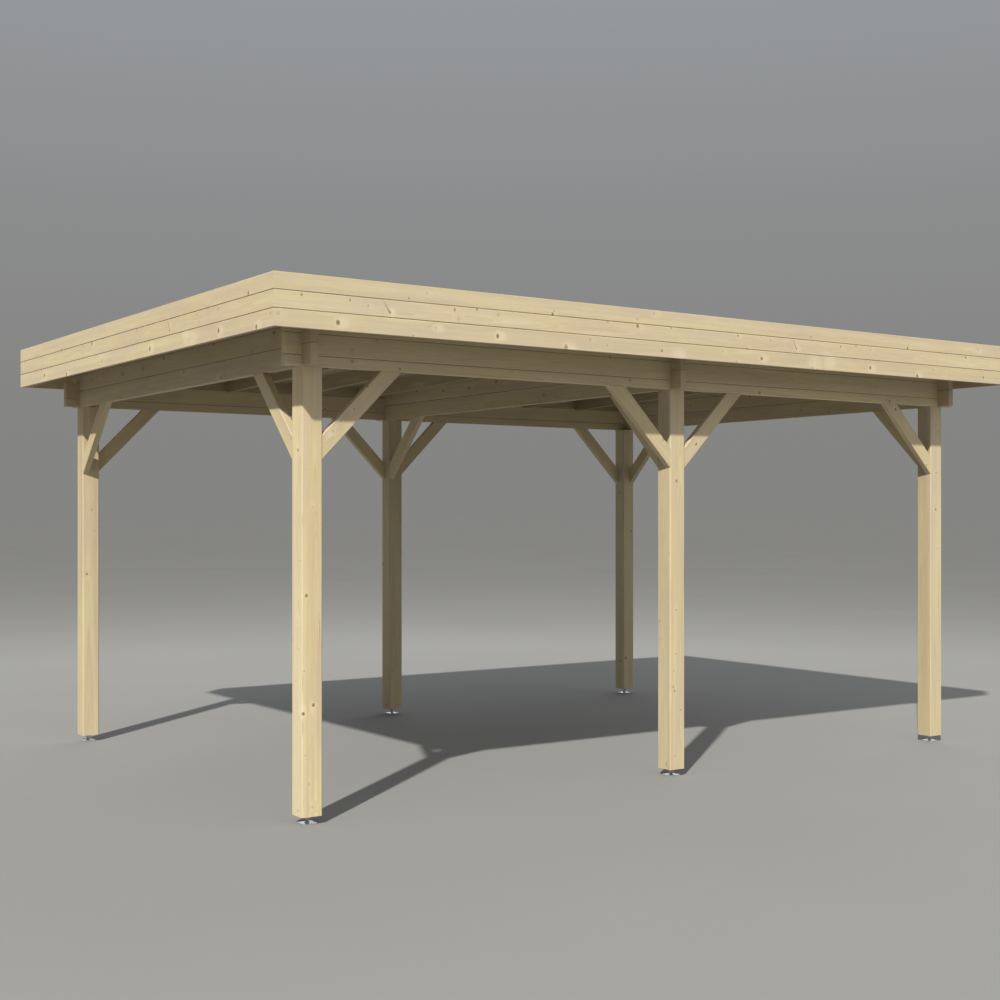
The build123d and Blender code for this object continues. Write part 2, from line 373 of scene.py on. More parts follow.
# The colour, roughness and relief of planed, untreated spruce from those masks
spruceValues = {      # linear colours, and how much of each is mixed in at most
    "yellowHue": (0.99, 0.995, 0.92, 1.0), "pinkHue": (0.99, 0.96, 1.03, 1.0),
    "pale": (0.84, 0.75, 0.56, 1.0), "paleShare": 0.36,
    "late": (0.80, 0.66, 0.48, 1.0), "lateShare": 0.34,
    "knot": (0.30, 0.205, 0.095, 1.0), "heart": (0.120, 0.084, 0.038, 1.0), "knotShare": 0.9,
    "end": (1.07, 1.05, 1.06, 1.0), "endShare": 0.75,
    # painted shade along the joint grooves of the beams, and how much of it is mixed in
    "grooveShade": (0.080, 0.060, 0.035, 1.0), "grooveShadeShare": 0.62,
}
planedSpruce, given, result = newGroup(
    "planedSpruce",
    {
        "Late": 0.0, "Band": 0.5, "Fibre": 0.5, "Knot": 0.0, "Heart": 0.0, "Pale": 0.0, "Cloud": 0.5,
        "CutEnd": 0.0, "Seam": 0.0, "Tone": 1.0, "Contrast": 1.0,
        "Early": (0.66, 0.54, 0.35, 1.0), "Warm": (0.62, 0.47, 0.27, 1.0),
    },
    ("Colour", "Roughness", "Height"),
)
ground = mixColour(times(given["Band"], given["Contrast"]), given["Early"], given["Warm"])
hueShare = between(given["Cloud"], 0.30, 0.70)
hue = mixColour(hueShare, spruceValues["yellowHue"], spruceValues["pinkHue"])
ground = mixColour(1.0, ground, hue, "MULTIPLY")
ground = mixColour(times(given["Pale"], spruceValues["paleShare"]), ground, spruceValues["pale"])
ringShare = times(given["Late"], times(given["Contrast"], spruceValues["lateShare"]))
ringed = mixColour(ringShare, ground, mixColour(1.0, ground, spruceValues["late"], "MULTIPLY"))
fibreTone = between(given["Fibre"], 0.25, 0.75, 0.93, 1.06, smooth=False)
cloudTone = between(given["Cloud"], 0.28, 0.72, 1.045, 0.945, smooth=False)
toned = vectorCalc("SCALE", ringed, scale=times(fibreTone, cloudTone, given["Tone"]))
knotColour = mixColour(given["Heart"], spruceValues["knot"], spruceValues["heart"])
colour = mixColour(times(given["Knot"], spruceValues["knotShare"]), toned, knotColour)
endShare = times(given["CutEnd"], spruceValues["endShare"])
colour = mixColour(endShare, colour, spruceValues["end"], "MULTIPLY")
# Painted shade: a dark line along each joint groove, where shade falls in the V
colour = mixColour(times(given["Seam"], spruceValues["grooveShadeShare"]), colour, spruceValues["grooveShade"])
put(result["Colour"], colour)
fibreRough = between(given["Fibre"], 0.3, 0.7, 0.56, 0.68)
put(result["Roughness"], minus(fibreRough, times(given["Knot"], 0.14)))
relief = plus(times(given["Late"], 0.35), times(given["Fibre"], 0.65))
put(result["Height"], plus(relief, times(given["Knot"], 0.8)))
print("stage: shader groups")


# Timber materials

timberTints = {      # early wood and warm bands, linear colour
    "fascia": ((0.605, 0.522, 0.352, 1.0), (0.565, 0.472, 0.308, 1.0)),
    "beam": ((0.605, 0.518, 0.332, 1.0), (0.550, 0.458, 0.284, 1.0)),
    "post": ((0.675, 0.584, 0.388, 1.0), (0.605, 0.498, 0.306, 1.0)),
    # roof: darker, partly as rough-sawn boards and partly as painted shade of the underside
    "roof": ((0.345, 0.290, 0.174, 1.0), (0.307, 0.249, 0.142, 1.0)),
}
timberValues = {
    "relief": 0.00035,      # metres between the lowest and highest grain
    "reliefShare": 0.8,
    "gloss": 0.32,
    "grooveShade": (0.0022, 0.0007),                # half the width of the painted groove shade at a joint, from its faint to its dark part, m
    "boardSpread": (0.0, 0.07, 0.04),        # how far the pith moves from board to board, m
    "pieceSpread": (0.0, 0.06, 0.04),
    "boardTones": (0.965, 1.025),
}
seedStart = {      # the number that a timber's own figure is drawn from, for the first piece of each kind
    "fascia": 1.0, "post": 11.0, "beam": 23.0, "eaves_blocks": 71.0, "rafters": 83.0, "verge_rafter": 91.0,
    "roof_boards": 101.0, "braces": 201.0,
}
axisOrder = {"x": (0, 1, 2), "y": (1, 2, 0), "z": (2, 0, 1)}      # grain first


def timberMaterial(name, grain, tint, pith, seed=0.0, knots=(), knotShare=0.45, contrast=1.0, tone=1.0,
                   seedStep=None, seams=(), xFaceLight=1.0, chamferShade=1.0):
    # grain is "x", "y" or "z", or "board" for the piece's own board attribute. knots are dictionaries of
    # chosenKnot's values in the board's axes. seams are the heights of the grooves beside a plank, which get
    # painted shade. On a post, the next to last argument is the tone of the two faces square to X, painted
    # light and shade, and the last is that of the chamfers, painted shade. seedStep tells several like pieces
    # in one node apart by where they stand along X.
    material, shader = newMaterial(name)
    grooveShade = 0.0
    if grain == "board":
        point = attributeOf("board", "Vector")
        cutEnd = attributeOf("cutEnd")
        seed = attributeOf("seed")
        drawn, drawnPlace = lotOf(seed)
        spread = vectorCalc("MULTIPLY", drawnPlace, timberValues["boardSpread"])
        pith = vectorCalc("ADD", pith, spread)
        low, high = timberValues["boardTones"]
        tone = between(drawn, 0.0, 1.0, low * tone, high * tone, smooth=False)
    else:
        parts = split(objectPoint())
        point = join(*(parts[axis] for axis in axisOrder[grain]))
        normal = newNode("ShaderNodeNewGeometry").outputs["Normal"]
        facing = [calc("ABSOLUTE", part) for part in split(normal)]
        cutEnd = between(facing["xyz".index(grain)], 0.8, 0.9)
        # Painted shade: a dark band at each joint height, for the shade in the groove
        for height in seams:
            gap = calc("ABSOLUTE", minus(parts[2], height))
            grooveShade = calc("MAXIMUM", grooveShade, between(gap, *timberValues["grooveShade"]))
        # Painted light and shade: the faces square to X lighter or darker than the rest of the post
        if xFaceLight != 1.0:
            xFaceLit = between(facing[0], 0.75, 0.95, tone, tone * xFaceLight)
            # Painted shade: the chamfers between the flat faces are darkened
            flatness = calc("MAXIMUM", facing[0], facing[1])
            tone = times(xFaceLit, between(flatness, 0.75, 0.95, chamferShade, 1.0))
        if seedStep:
            offset, step = seedStep
            piece = calc("FLOOR", calc("DIVIDE", plus(parts[0], offset), step))
            seed = plus(piece, seed)
            spread = vectorCalc("MULTIPLY", lotOf(seed)[1], timberValues["pieceSpread"])
            pith = vectorCalc("ADD", pith, spread)
    masks = {"Swirl": 0.0, "Knot": 0.0, "Heart": 0.0, "Halo": 0.0}
    wobble = times(minus(noise(point, 170.0, 1.0), 0.5), 0.8) if knots else 0.0
    for knot in knots:
        chosen = useGroup(chosenKnot, Point=point, Wobble=wobble, **knot, **masks)
        masks = {label: chosen[label] for label in masks}
    figure = useGroup(
        softwoodFigure, Point=point, Pith=pith, Seed=seed, Swirl=masks["Swirl"], KnotShare=knotShare)
    early, warm = timberTints[tint]
    wood = useGroup(
        planedSpruce, **{label: figure[label] for label in ("Late", "Band", "Fibre", "Cloud")},
        Knot=calc("MAXIMUM", figure["Knot"], masks["Knot"]),
        Heart=calc("MAXIMUM", figure["Heart"], masks["Heart"]),
        Pale=calc("MAXIMUM", figure["Pale"], masks["Halo"]),
        CutEnd=cutEnd, Seam=grooveShade, Tone=tone, Early=early, Warm=warm, Contrast=contrast,
    )
    put(shader.inputs["Base Color"], wood["Colour"])
    put(shader.inputs["Roughness"], wood["Roughness"])
    put(shader.inputs["Specular IOR Level"], timberValues["gloss"])
    addRelief(shader, wood["Height"], timberValues["relief"], timberValues["reliefShare"])
    return material


def dress(node, material):      # a CAD node keeps its shape and gets a new finish
    nodes[node].data.materials.clear()
    nodes[node].data.materials.append(material)


# Knots that the photograph shows, by node and by the face they are on: each is a pixel of the photograph,
# a radius in millimetres, how dark it is from 0 to 1, and how pale the patch beside it is, which lies towards
# the higher coordinate, or with a minus towards the lower one

knotMarks = {
    "post_front_right": {
        0: [(298.0, 450.0, 8, 0.9, 0.3), (301.0, 560.4, 4, 0.9, 0), (292.6, 640.0, 4, 0.7, 0),
            (298.3, 648.8, 4, 0.8, 0.2), (297.9, 810.9, 7, 0.5, 0.2), (300.0, 372.0, 4, 0.8, 0),
            (297.7, 621.5, 9, 0.14, 0.5)],
        1: [(306.4, 595.7, 8, 0.95, 0.3), (313.4, 705.0, 9, 0.95, -0.9), (303.4, 713.9, 8, 1.0, 0.7),
            (304.0, 671.3, 3.5, 0.8, 0), (305.1, 755.5, 3.5, 0.7, 0), (308.8, 784.1, 5, 0.5, 0.3),
            (312.7, 807.2, 8, 0.35, 0.3), (315.3, 533.6, 4, 0.4, 0.2), (312.7, 507.3, 7, 0.2, 0.4),
            (309.5, 468.7, 4, 0.35, 0), (318.6, 622.0, 3, 0.45, 0)],
    },
    "post_middle_right": {
        0: [(669.3, 553.5, 4, 0.7, 0), (668.6, 510.9, 3, 0.8, 0), (659.6, 621.2, 7, 0.6, 0.2),
            (666.5, 628.6, 4, 0.6, 0), (662.0, 639.0, 4, 0.6, 0), (666.2, 764.3, 8, 0.5, 0.2)],
        1: [(676.4, 481.0, 9, 0.8, 0.3), (676.5, 609.9, 5, 0.8, 0.2), (676.0, 653.8, 5, 0.8, 0),
            (673.6, 670.8, 4, 0.7, 0), (673.0, 686.8, 6, 0.8, 0.2), (674.6, 690.8, 7, 0.8, 0.4),
            (680.5, 709.8, 5, 0.7, 0.2), (675.2, 755.9, 5, 0.7, 0)],
    },
    "post_rear_right": {
        0: [(929.0, 549.0, 4, 0.7, 0)],
        1: [(938.0, 431.0, 5, 0.7, 0), (935.9, 472.5, 5, 0.8, 0.2), (935.7, 509.4, 8, 0.9, 0.3),
            (937.9, 548.3, 5, 0.7, 0), (934.5, 640.0, 5, 0.4, 0.2)],
    },
    "post_front_left": {
        1: [(86.8, 574.0, 8, 0.8, 0.2), (91.5, 509.7, 6, 0.5, 0), (94.4, 530.4, 5, 0.35, 0)],
    },
    "fascia_right": {
        1: [(409.0, 298.0, 4, 0.8, 0), (427.0, 293.3, 5, 0.3, 0.2), (552.6, 313.9, 6, 0.95, 0.2),
            (554.2, 311.0, 4, 0.5, 0), (637.2, 318.9, 5, 0.5, 0), (654.0, 313.4, 8, 0.25, 0.5),
            (811.0, 336.8, 5, 0.6, 0), (907.7, 348.0, 6, 0.95, 0.3), (908.4, 345.2, 4, 0.5, 0),
            (978.0, 349.5, 8, 0.25, 0.5),
            (301.6, 294.6, 5, 0.75, 0), (350.0, 300.0, 4.5, 0.8, 0), (368.3, 305.6, 4, 0.6, 0.3),
            (384.5, 302.5, 4.5, 0.35, 0), (386.0, 305.3, 4.5, 0.5, 0), (387.5, 308.1, 5, 0.65, 0),
            (388.8, 310.4, 5, 0.75, 0.8), (390.0, 312.5, 5, 0.9, 0.9), (454.8, 309.8, 5, 0.85, 0.2),
            (477.0, 309.5, 5, 0.75, 0.2), (458.8, 318.6, 7, 0.3, 0.2), (498.6, 314.4, 7, 0.35, 0.3),
            (607.9, 321.9, 5, 0.6, 0.2), (637.8, 326.0, 7.5, 0.95, 0.4), (671.4, 327.9, 5, 0.6, 0.4),
            (737.9, 335.6, 6, 0.7, 0.4), (770.4, 340.3, 4, 0.7, 0), (783.0, 345.0, 5, 0.3, 0.3),
            (793.6, 341.5, 4.5, 0.45, 0), (794.6, 344.0, 4.5, 0.6, 0), (795.6, 346.3, 5, 0.75, 0.8),
            (796.6, 348.6, 5, 0.9, 0.9), (840.8, 346.5, 5.5, 0.7, 0.2), (856.0, 346.2, 5, 0.6, 0),
            (843.5, 353.5, 6, 0.25, 0), (870.5, 350.0, 6, 0.4, 0.3), (965.8, 357.6, 6, 0.95, 0.4),
            (278.0, 313.0, 7, 0.35, 0.4), (338.0, 322.4, 9, 0.95, 0.9), (413.3, 335.5, 4, 0.7, 0.5),
            (436.0, 328.0, 7, 0.25, 0.9), (497.8, 336.0, 8, 0.95, 0.9), (566.0, 347.0, 10, 0.7, 1.0),
            (590.3, 340.0, 6, 0.4, 0.3), (607.1, 345.4, 6, 0.4, 0.2), (662.0, 350.7, 5.5, 0.95, 0.2),
            (675.0, 355.0, 12, 0.0, 1.0), (723.0, 351.2, 6, 0.35, 0.4), (736.8, 361.8, 6, 0.4, 0.2),
            (747.3, 348.6, 6, 0.5, 0.3), (761.8, 358.5, 8, 0.95, 0.9), (812.3, 368.0, 5, 0.7, 0.5),
            (812.0, 362.0, 12, 0.0, 0.8), (827.0, 361.0, 12, 0.0, 0.8), (870.3, 367.7, 8, 0.95, 0.9),
            (917.2, 375.8, 8, 0.95, 0.9), (933.3, 369.8, 6, 0.4, 0.2), (944.5, 374.0, 5, 0.25, 0.3),
            (983.3, 377.5, 5.5, 0.95, 0.2)],
    },
    "fascia_front": {
        0: [(61.5, 349.5, 7, 0.7, 0), (91.8, 343.5, 9, 0.85, -0.3), (83.5, 346.2, 8, 0.3, 0),
            (44.3, 375.4, 9, 0.85, -0.6), (66.4, 374.4, 9, 0.95, -0.7), (102.2, 360.8, 8, 0.55, -0.3),
            (136.8, 329.9, 6, 0.5, 0), (149.8, 348.8, 9, 0.95, -0.8), (167.9, 321.6, 5, 0.6, 0),
            (168.5, 324.3, 5, 0.8, -0.5), (169.0, 327.2, 5, 0.9, -0.7), (169.6, 330.0, 5, 0.9, -0.3),
            (196.8, 314.3, 6, 0.55, -0.2), (198.8, 322.0, 6, 0.3, 0), (207.6, 308.6, 6, 0.35, 0),
            (218.0, 308.4, 6, 0.4, 0), (218.4, 330.5, 9, 0.95, -0.8), (256.2, 326.9, 9, 0.95, -1.0),
            (248.2, 293.3, 7, 0.95, -0.2), (248.6, 290.6, 4, 0.5, 0), (270.5, 313.2, 6, 0.45, 0),
            (184.0, 337.0, 12, 0.0, -0.8), (191.0, 338.0, 12, 0.0, -0.7)],
    },
    "beam_front": {
        0: [(163.6, 357.8, 9, 0.9, 0.2), (142.6, 369.0, 9, 0.8, 0.2), (122.7, 374.3, 9, 0.8, 0.2),
            (102.8, 373.4, 8, 0.8, 0.2), (214.0, 344.1, 7, 0.9, 0), (183.6, 372.4, 7, 0.7, 0.4),
            (221.3, 377.2, 8, 0.8, 0.8), (252.0, 352.0, 7, 0.5, 0), (274.2, 332.7, 8, 0.9, 0)],
    },
    "beam_right": {
        1: [(352.0, 361.6, 6, 0.6, 0), (400.0, 369.0, 5, 0.7, 0), (610.0, 357.4, 7, 0.6, 0),
            (630.0, 380.3, 6, 0.6, 0), (759.4, 392.9, 7, 0.7, 0.2), (376.7, 340.5, 5, 0.5, 0),
            (889.4, 401.2, 6, 0.9, 0.4), (512.0, 371.5, 4, 0.4, 0.2), (352.5, 350.3, 5, 0.4, 0)],
    },
    "beam_middle": {
        0: [(416.7, 391.4, 8, 0.8, 0), (443.3, 390.8, 9, 0.9, 0), (468.6, 387.8, 9, 0.9, 0),
            (496.3, 381.4, 9, 0.9, 0), (543.8, 394.6, 8, 0.8, 0), (470.0, 404.0, 6, 0.5, 0),
            (516.0, 402.6, 5, 0.6, 0)],
    },
    "beam_rear": {
        0: [(690.4, 405.2, 6, 0.8, 0), (749.9, 396.8, 6, 0.9, 0), (800.8, 410.0, 6, 0.8, 0),
            (829.6, 412.4, 6, 0.8, 0)],
    },
}
knotValues = {
    "lean": 1.9,          # from a knot to the middle of its pale patch, in knot radii
    "inwards": 0.35,      # a branch runs inwards from the face, so the knot reaches further that way
    "beyond": 0.004,      # how far outside a node its marks may fall, m
}


def knotAt(place, order, stretch, size, strength, glow=0.0, lean=0.0):
    # chosenKnot's values, with the place and the stretch in the order of the board's axes
    return {
        "Centre": tuple(place[axis] for axis in order), "Stretch": tuple(stretch[axis] for axis in order),
        "Size": size, "Strength": strength, "Glow": glow, "Lean": lean,
    }


def knotsOf(node, order, marked=None, shape=(0.85, 1.0), grow=1.0):
    # The marks that lie on this node. shape is how much a knot is narrowed along and across the grain
    low, high = boxOf(node)
    found = []
    for face, marks in knotMarks.get(marked or node, {}).items():
        stretch = [shape[1]] * 3
        stretch[order[0]] = shape[0]
        stretch[face] = knotValues["inwards"]
        for u, v, radius, strength, glow in marks:
            place = seenAt(u, v, face, low[face])
            if np.all(place >= low - knotValues["beyond"]) and np.all(place <= high + knotValues["beyond"]):
                lean = math.copysign(knotValues["lean"], -glow)
                found.append(knotAt(place, order, stretch, grow * radius / 1000, strength, abs(glow), lean))
    return found


# Posts: the grain runs up Z. Each has the pith of its own log, given from its middle, and its own tone, with
# the painted light and shade of the faces square to X as a share of that. A drying crack is a very long and
# narrow knot.

postTimber = {
    # front is the tone of the faces square to X, painted light and shade
    "front_right": {"pith": (0.018, -0.022), "tone": 1.00, "front": 1.04, "knotShare": 0.0},
    "front_left": {"pith": (-0.02, 0.015), "tone": 0.92, "front": 0.94, "knotShare": 0.0},
    "middle_right": {"pith": (0.024, 0.012), "tone": 0.92, "front": 0.86, "knotShare": 0.0},
    # middle_left and rear_left stand inside under the roof: their lower tone is painted shade
    "middle_left": {"pith": (-0.024, -0.012), "tone": 0.75, "front": 0.96, "knotShare": 0.30},
    "rear_right": {"pith": (-0.012, 0.02), "tone": 0.90, "front": 0.82, "knotShare": 0.0},
    "rear_left": {"pith": (0.02, -0.018), "tone": 0.81, "front": 0.96, "knotShare": 0.30},
}
# Painted shade: the chamfers of a post darker than its flat faces
postChamferShade = 0.90
postCracks = {      # photograph pixels on the face square to Y: across, top and bottom
    "post_front_right": [
        (302.8, 674.0, 693.0), (302.8, 719.0, 737.0), (302.6, 513.0, 526.0), (319.4, 612.0, 648.0)],
    "post_middle_right": [(684.0, 560.0, 596.0), (679.0, 700.0, 742.0)],
    "post_rear_right": [(938.4, 566.0, 620.0)],
}
crackValues = {"width": 0.0011, "inwards": 0.1, "strength": 0.8}
backValues = {      # what is drawn for the faces that the photograph doesn't show: ranges, lengths in metres
    "firstSeed": 40, "knots": 7, "place": (0.08, 0.92), "radius": (0.003, 0.009), "strength": (0.5, 0.95),
    "glow": (0.0, 0.6), "lean": (-2.0, 2.0), "crackPlace": (0.25, 0.75), "crackHalf": (0.10, 0.30),
}


def crackAt(place, halfLength, face):
    stretch = [1.0, 1.0, crackValues["width"] / halfLength]
    stretch[face] = crackValues["inwards"]
    return knotAt(place, axisOrder["z"], stretch, crackValues["width"], crackValues["strength"])


def cracksOf(node):
    front = boxOf(node)[0][1]
    found = []
    for u, top, bottom in postCracks.get(node, ()):
        upper, lower = seenAt(u, top, 1, front), seenAt(u, bottom, 1, front)
        found.append(crackAt((upper + lower) / 2, (upper - lower)[2] / 2, 1))
    return found


def backKnots(node, random):
    # Knots and a crack at drawn places on each of the two faces of a post that the photograph doesn't show
    low, high = boxOf(node)
    found = []
    for face in (0, 1):
        for _ in range(backValues["knots"]):
            place = low + (high - low) * random.uniform(*backValues["place"], 3)
            place[face] = high[face]
            stretch = [1.0, 1.0, 0.85]
            stretch[face] = knotValues["inwards"]
            drawn = (random.uniform(*backValues[label]) for label in ("radius", "strength", "glow", "lean"))
            found.append(knotAt(place, axisOrder["z"], stretch, *drawn))
        place = low + (high - low) * random.uniform(*backValues["crackPlace"], 3)
        place[face] = high[face]
        found.append(crackAt(place, random.uniform(*backValues["crackHalf"]), face))
    return found


for number, (place, values) in enumerate(postTimber.items()):
    node = "post_" + place
    x, y, _ = centreOf(node)
    knots = knotsOf(node, axisOrder["z"])
    if knots:
        knots += cracksOf(node) + backKnots(node, np.random.default_rng(backValues["firstSeed"] + number))
    dress(node, timberMaterial(
        "postTimber_" + place, "z", "post", (0.0, x + values["pith"][0], y + values["pith"][1]),
        seedStart["post"] + number, knots, knotShare=values["knotShare"], tone=values["tone"],
        xFaceLight=values["front"], chamferShade=postChamferShade,
    ))


# Beams: a plank each, cut well away from the heart of a log, with painted shade along each joint groove

# Each beam's tone holds painted light and shade: the right beam, whose face lies in shade, is lightened, and
# the beams inside under the roof are darkened
beamTimber = {
    "right": {"planks": 3, "tone": 1.09, "knotShare": 0.0},
    "left": {"planks": 2, "tone": 0.88, "knotShare": 0.25},
    "front": {"planks": 3, "tone": 0.90, "knotShare": 0.05},
    "middle": {"planks": 3, "tone": 0.86, "knotShare": 0.05},
    "rear": {"planks": 3, "tone": 0.86, "knotShare": 0.0},
}
plankValues = {
    "pithBehind": 0.085,      # from the middle of a plank to the pith, m
    "pithStep": 0.03,         # how far the pith moves up from plank to plank, m
    "toneStep": 0.02,         # how much darker every second plank is
    "seedStep": 7,            # from beam to beam
    "knotGrow": 1.45,
}
for index, (run, values) in enumerate(beamTimber.items()):
    grain = "x" if run in sides else "y"
    order = axisOrder[grain]
    behind = 1 if grain == "x" else 2      # which of the board's axes runs into the beam
    numbers = range(1, values["planks"] + 1)
    seams = [boxOf(f"beam_{run}_{number}")[0][2] for number in numbers[1:]]
    for number in numbers:
        node = f"beam_{run}_{number}"
        middle = centreOf(node)
        pith = [0.0, middle[order[1]], middle[order[2]]]
        pith[behind] += plankValues["pithBehind"]
        pith[3 - behind] += plankValues["pithStep"] * (number - 2)
        knots = knotsOf(node, order, "beam_" + run, grow=plankValues["knotGrow"])
        seed = seedStart["beam"] + plankValues["seedStep"] * index + number
        dress(node, timberMaterial(
            "plankTimber_" + node, grain, "beam", pith, seed, knots, knotShare=values["knotShare"],
            tone=values["tone"] - plankValues["toneStep"] * (number % 2), seams=seams,
        ))

# Blocks and rafters: pith is given from a node's middle, in the board's second and third axis
roofTimber = {
    "eaves_blocks": {"name": "blockTimber_", "grain": "x", "pith": (0.06, -0.05), "places": sideSign},
    "rafters": {
        "name": "rafterTimber_", "grain": "y", "pith": (-0.02, 0.02), "places": rowSign,
        "seedStep": (3.0, 0.286),
    },
    "verge_rafter": {"name": "vergeTimber_", "grain": "y", "pith": (-0.02, 0.07), "places": rowSign},
}
for kind, values in roofTimber.items():
    for place, sign in values["places"].items():
        middle = centreOf(f"{kind}_{place}")
        pith = [middle[axis] + shift for axis, shift in zip(axisOrder[values["grain"]][1:], values["pith"])]
        dress(f"{kind}_{place}", timberMaterial(
            values["name"] + place, values["grain"], "roof", (0.0, *pith), seedStart[kind] + sign,
            seedStep=values.get("seedStep")))
print("stage: timber of the frame")


# Steel of the feet and the roofing felt

steelValues = {"spangle": 260.0, "cloud": 45.0, "dark": 0.62, "metal": 0.85, "relief": 0.0002}
feltLook = {
    "grains": 620.0,                      # in a metre
    "weather": (0.7, 3.6, 1.0),
    "dark": (0.052, 0.054, 0.058, 1.0), "light": (0.074, 0.077, 0.081, 1.0),
    "granule": (0.20, 0.205, 0.21, 1.0), "bitumen": (0.014, 0.014, 0.015, 1.0),
    "rollTones": (0.90, 1.10),
    "relief": 0.0008,
}


def steelMaterial(name, tone, roughness):      # hot-dip zinc with its spangle
    material, shader = newMaterial(name)
    point = objectPoint()
    flake, _, _ = split(cellsOf(point, steelValues["spangle"])["Color"])
    cloud = noise(point, steelValues["cloud"], 3.0)
    dull = plus(times(flake, 0.4), times(cloud, 0.6))
    dark = tuple(steelValues["dark"] * part for part in tone) + (1.0,)
    put(shader.inputs["Base Color"], mixColour(dull, dark, tone + (1.0,)))
    put(shader.inputs["Roughness"], between(dull, 0.2, 0.8, roughness + 0.12, roughness - 0.08))
    put(shader.inputs["Metallic"], steelValues["metal"])
    addRelief(shader, cloud, steelValues["relief"])
    return material


def feltMaterial(name):      # mineral granules pressed into bitumen, each roll a tone, a bead of it at a lap
    material, shader = newMaterial(name)
    point = objectPoint()
    grains = cellsOf(point, feltLook["grains"])
    shade, light, _ = split(grains["Color"])
    weather = noise(vectorCalc("MULTIPLY", point, feltLook["weather"]), 1.7, 5.0, 0.62)
    base = mixColour(between(weather, 0.3, 0.7), feltLook["dark"], feltLook["light"])
    drawn, _ = lotOf(attributeOf("roll"))
    rollTone = between(drawn, 0.0, 1.0, *feltLook["rollTones"], smooth=False)
    base = vectorCalc("SCALE", base, scale=rollTone)
    granule = mixColour(between(shade, 0.55, 0.95, 0.0, 0.55), base, feltLook["granule"])
    bead = between(attributeOf("bleed"), 0.25, 0.75)
    put(shader.inputs["Base Color"], mixColour(bead, granule, feltLook["bitumen"]))
    granuleRough = between(light, 0.0, 1.0, 0.78, 0.95)
    put(shader.inputs["Roughness"], minus(granuleRough, times(bead, 0.45)))
    addRelief(shader, calc("MAXIMUM", grains["Distance"], bead), feltLook["relief"])
    return material


footSteel = steelMaterial("galvanisedSteel", (0.66, 0.67, 0.69), 0.40)
screwSteel = steelMaterial("zincPlatedSteel", (0.60, 0.57, 0.50), 0.36)
roofFelt = feltMaterial("mineralFelt")


# Small helpers for meshes, all on whole arrays

def roundAngles(steps):
    return np.linspace(0, 2 * math.pi, steps, endpoint=False)


def pointsOf(runAxis, run, cross, height):
    # Points from coordinates that spread over each other: along the run axis, across it and up
    parts = (run, cross, height) if runAxis == 0 else (cross, run, height)
    return np.stack(np.broadcast_arrays(*parts), axis=-1)


def ringQuads(index):
    # Faces between the rings of an array of point numbers (..., rings, points), each ring closed on itself
    turned = np.roll(index, -1, axis=-1)
    corners = index[..., :-1, :], turned[..., :-1, :], turned[..., 1:, :], index[..., 1:, :]
    return np.stack(corners, axis=-1).reshape(-1, 4)


def endFaces(index):      # the first and the last ring of the same array, as faces that look outwards
    ring = index.shape[-1]
    return index[..., 0, ::-1].reshape(-1, ring).tolist() + index[..., -1, :].reshape(-1, ring).tolist()


def gridQuads(index):      # faces of a sheet, from its point numbers (n, m)
    corners = index[:-1, :-1], index[1:, :-1], index[1:, 1:], index[:-1, 1:]
    return np.stack(corners, axis=-1).reshape(-1, 4)


def finishPiece(name, points, faces, material, replaced=(), attributes=None, smoothAngle=None):
    mesh = bpy.data.meshes.new(name)
    mesh.from_pydata(points.reshape(-1, 3), [], faces)
    mesh.materials.append(material)
    for label, (kind, domain, values) in (attributes or {}).items():
        attribute = mesh.attributes.new(label, kind, domain)
        attribute.data.foreach_set("vector" if kind == "FLOAT_VECTOR" else "value", np.ravel(values))
    if smoothAngle is not None:
        mesh.shade_smooth()
        mesh.set_sharp_from_angle(angle=math.radians(smoothAngle))
    piece = bpy.data.objects.new(name, mesh)
    scene.collection.objects.link(piece)
    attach(piece, "root")
    if replaced:
        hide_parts(*replaced)


def boardSet(name, boards, material, replaced):
    # Each board is (stations, board axes, seed): stations is an array of rings (n, k, 3), all rings
    # joined along the run and the two end rings closed; board axes is the same array in the board's
    # own axes with X along the grain.
    faces, ends, start = [], [], 0
    for stations, _, _ in boards:
        index = start + np.arange(stations[..., 0].size).reshape(stations.shape[:2])
        quads = ringQuads(index)
        faces += quads.tolist() + endFaces(index)
        ends += [0.0] * len(quads) + [1.0, 1.0]
        start += index.size
    points = np.concatenate([stations.reshape(-1, 3) for stations, _, _ in boards])
    finishPiece(name, points, faces, material, replaced, {
        "board": ("FLOAT_VECTOR", "POINT", np.concatenate([own.reshape(-1, 3) for _, own, _ in boards])),
        "seed": ("FLOAT", "POINT", np.concatenate([np.full(own.size // 3, seed) for _, own, seed in boards])),
        "cutEnd": ("FLOAT", "FACE", ends),
    })


def slottedSection(low, high, thickness, lowArris, highArris, slot=0.0, slotDepth=0.0, back=0.0015):
    # A board's outline as (inset from its face, height): arrises at the face and at the back, and at the
    # top, where the next board's tongue stands, a slot of the given width and depth
    top = high - slot
    slotLine = [(slotDepth, top), (slotDepth, high)] if slot else []
    return np.array([
        (0.0, low + lowArris), (0.0, top - highArris), (highArris, top), *slotLine,
        (thickness - back, high), (thickness, high - back), (thickness, low + back), (thickness - back, low),
        (lowArris, low),
    ])


# Fascia: three boards a side with a shadow gap at each joint, mitred at the corners

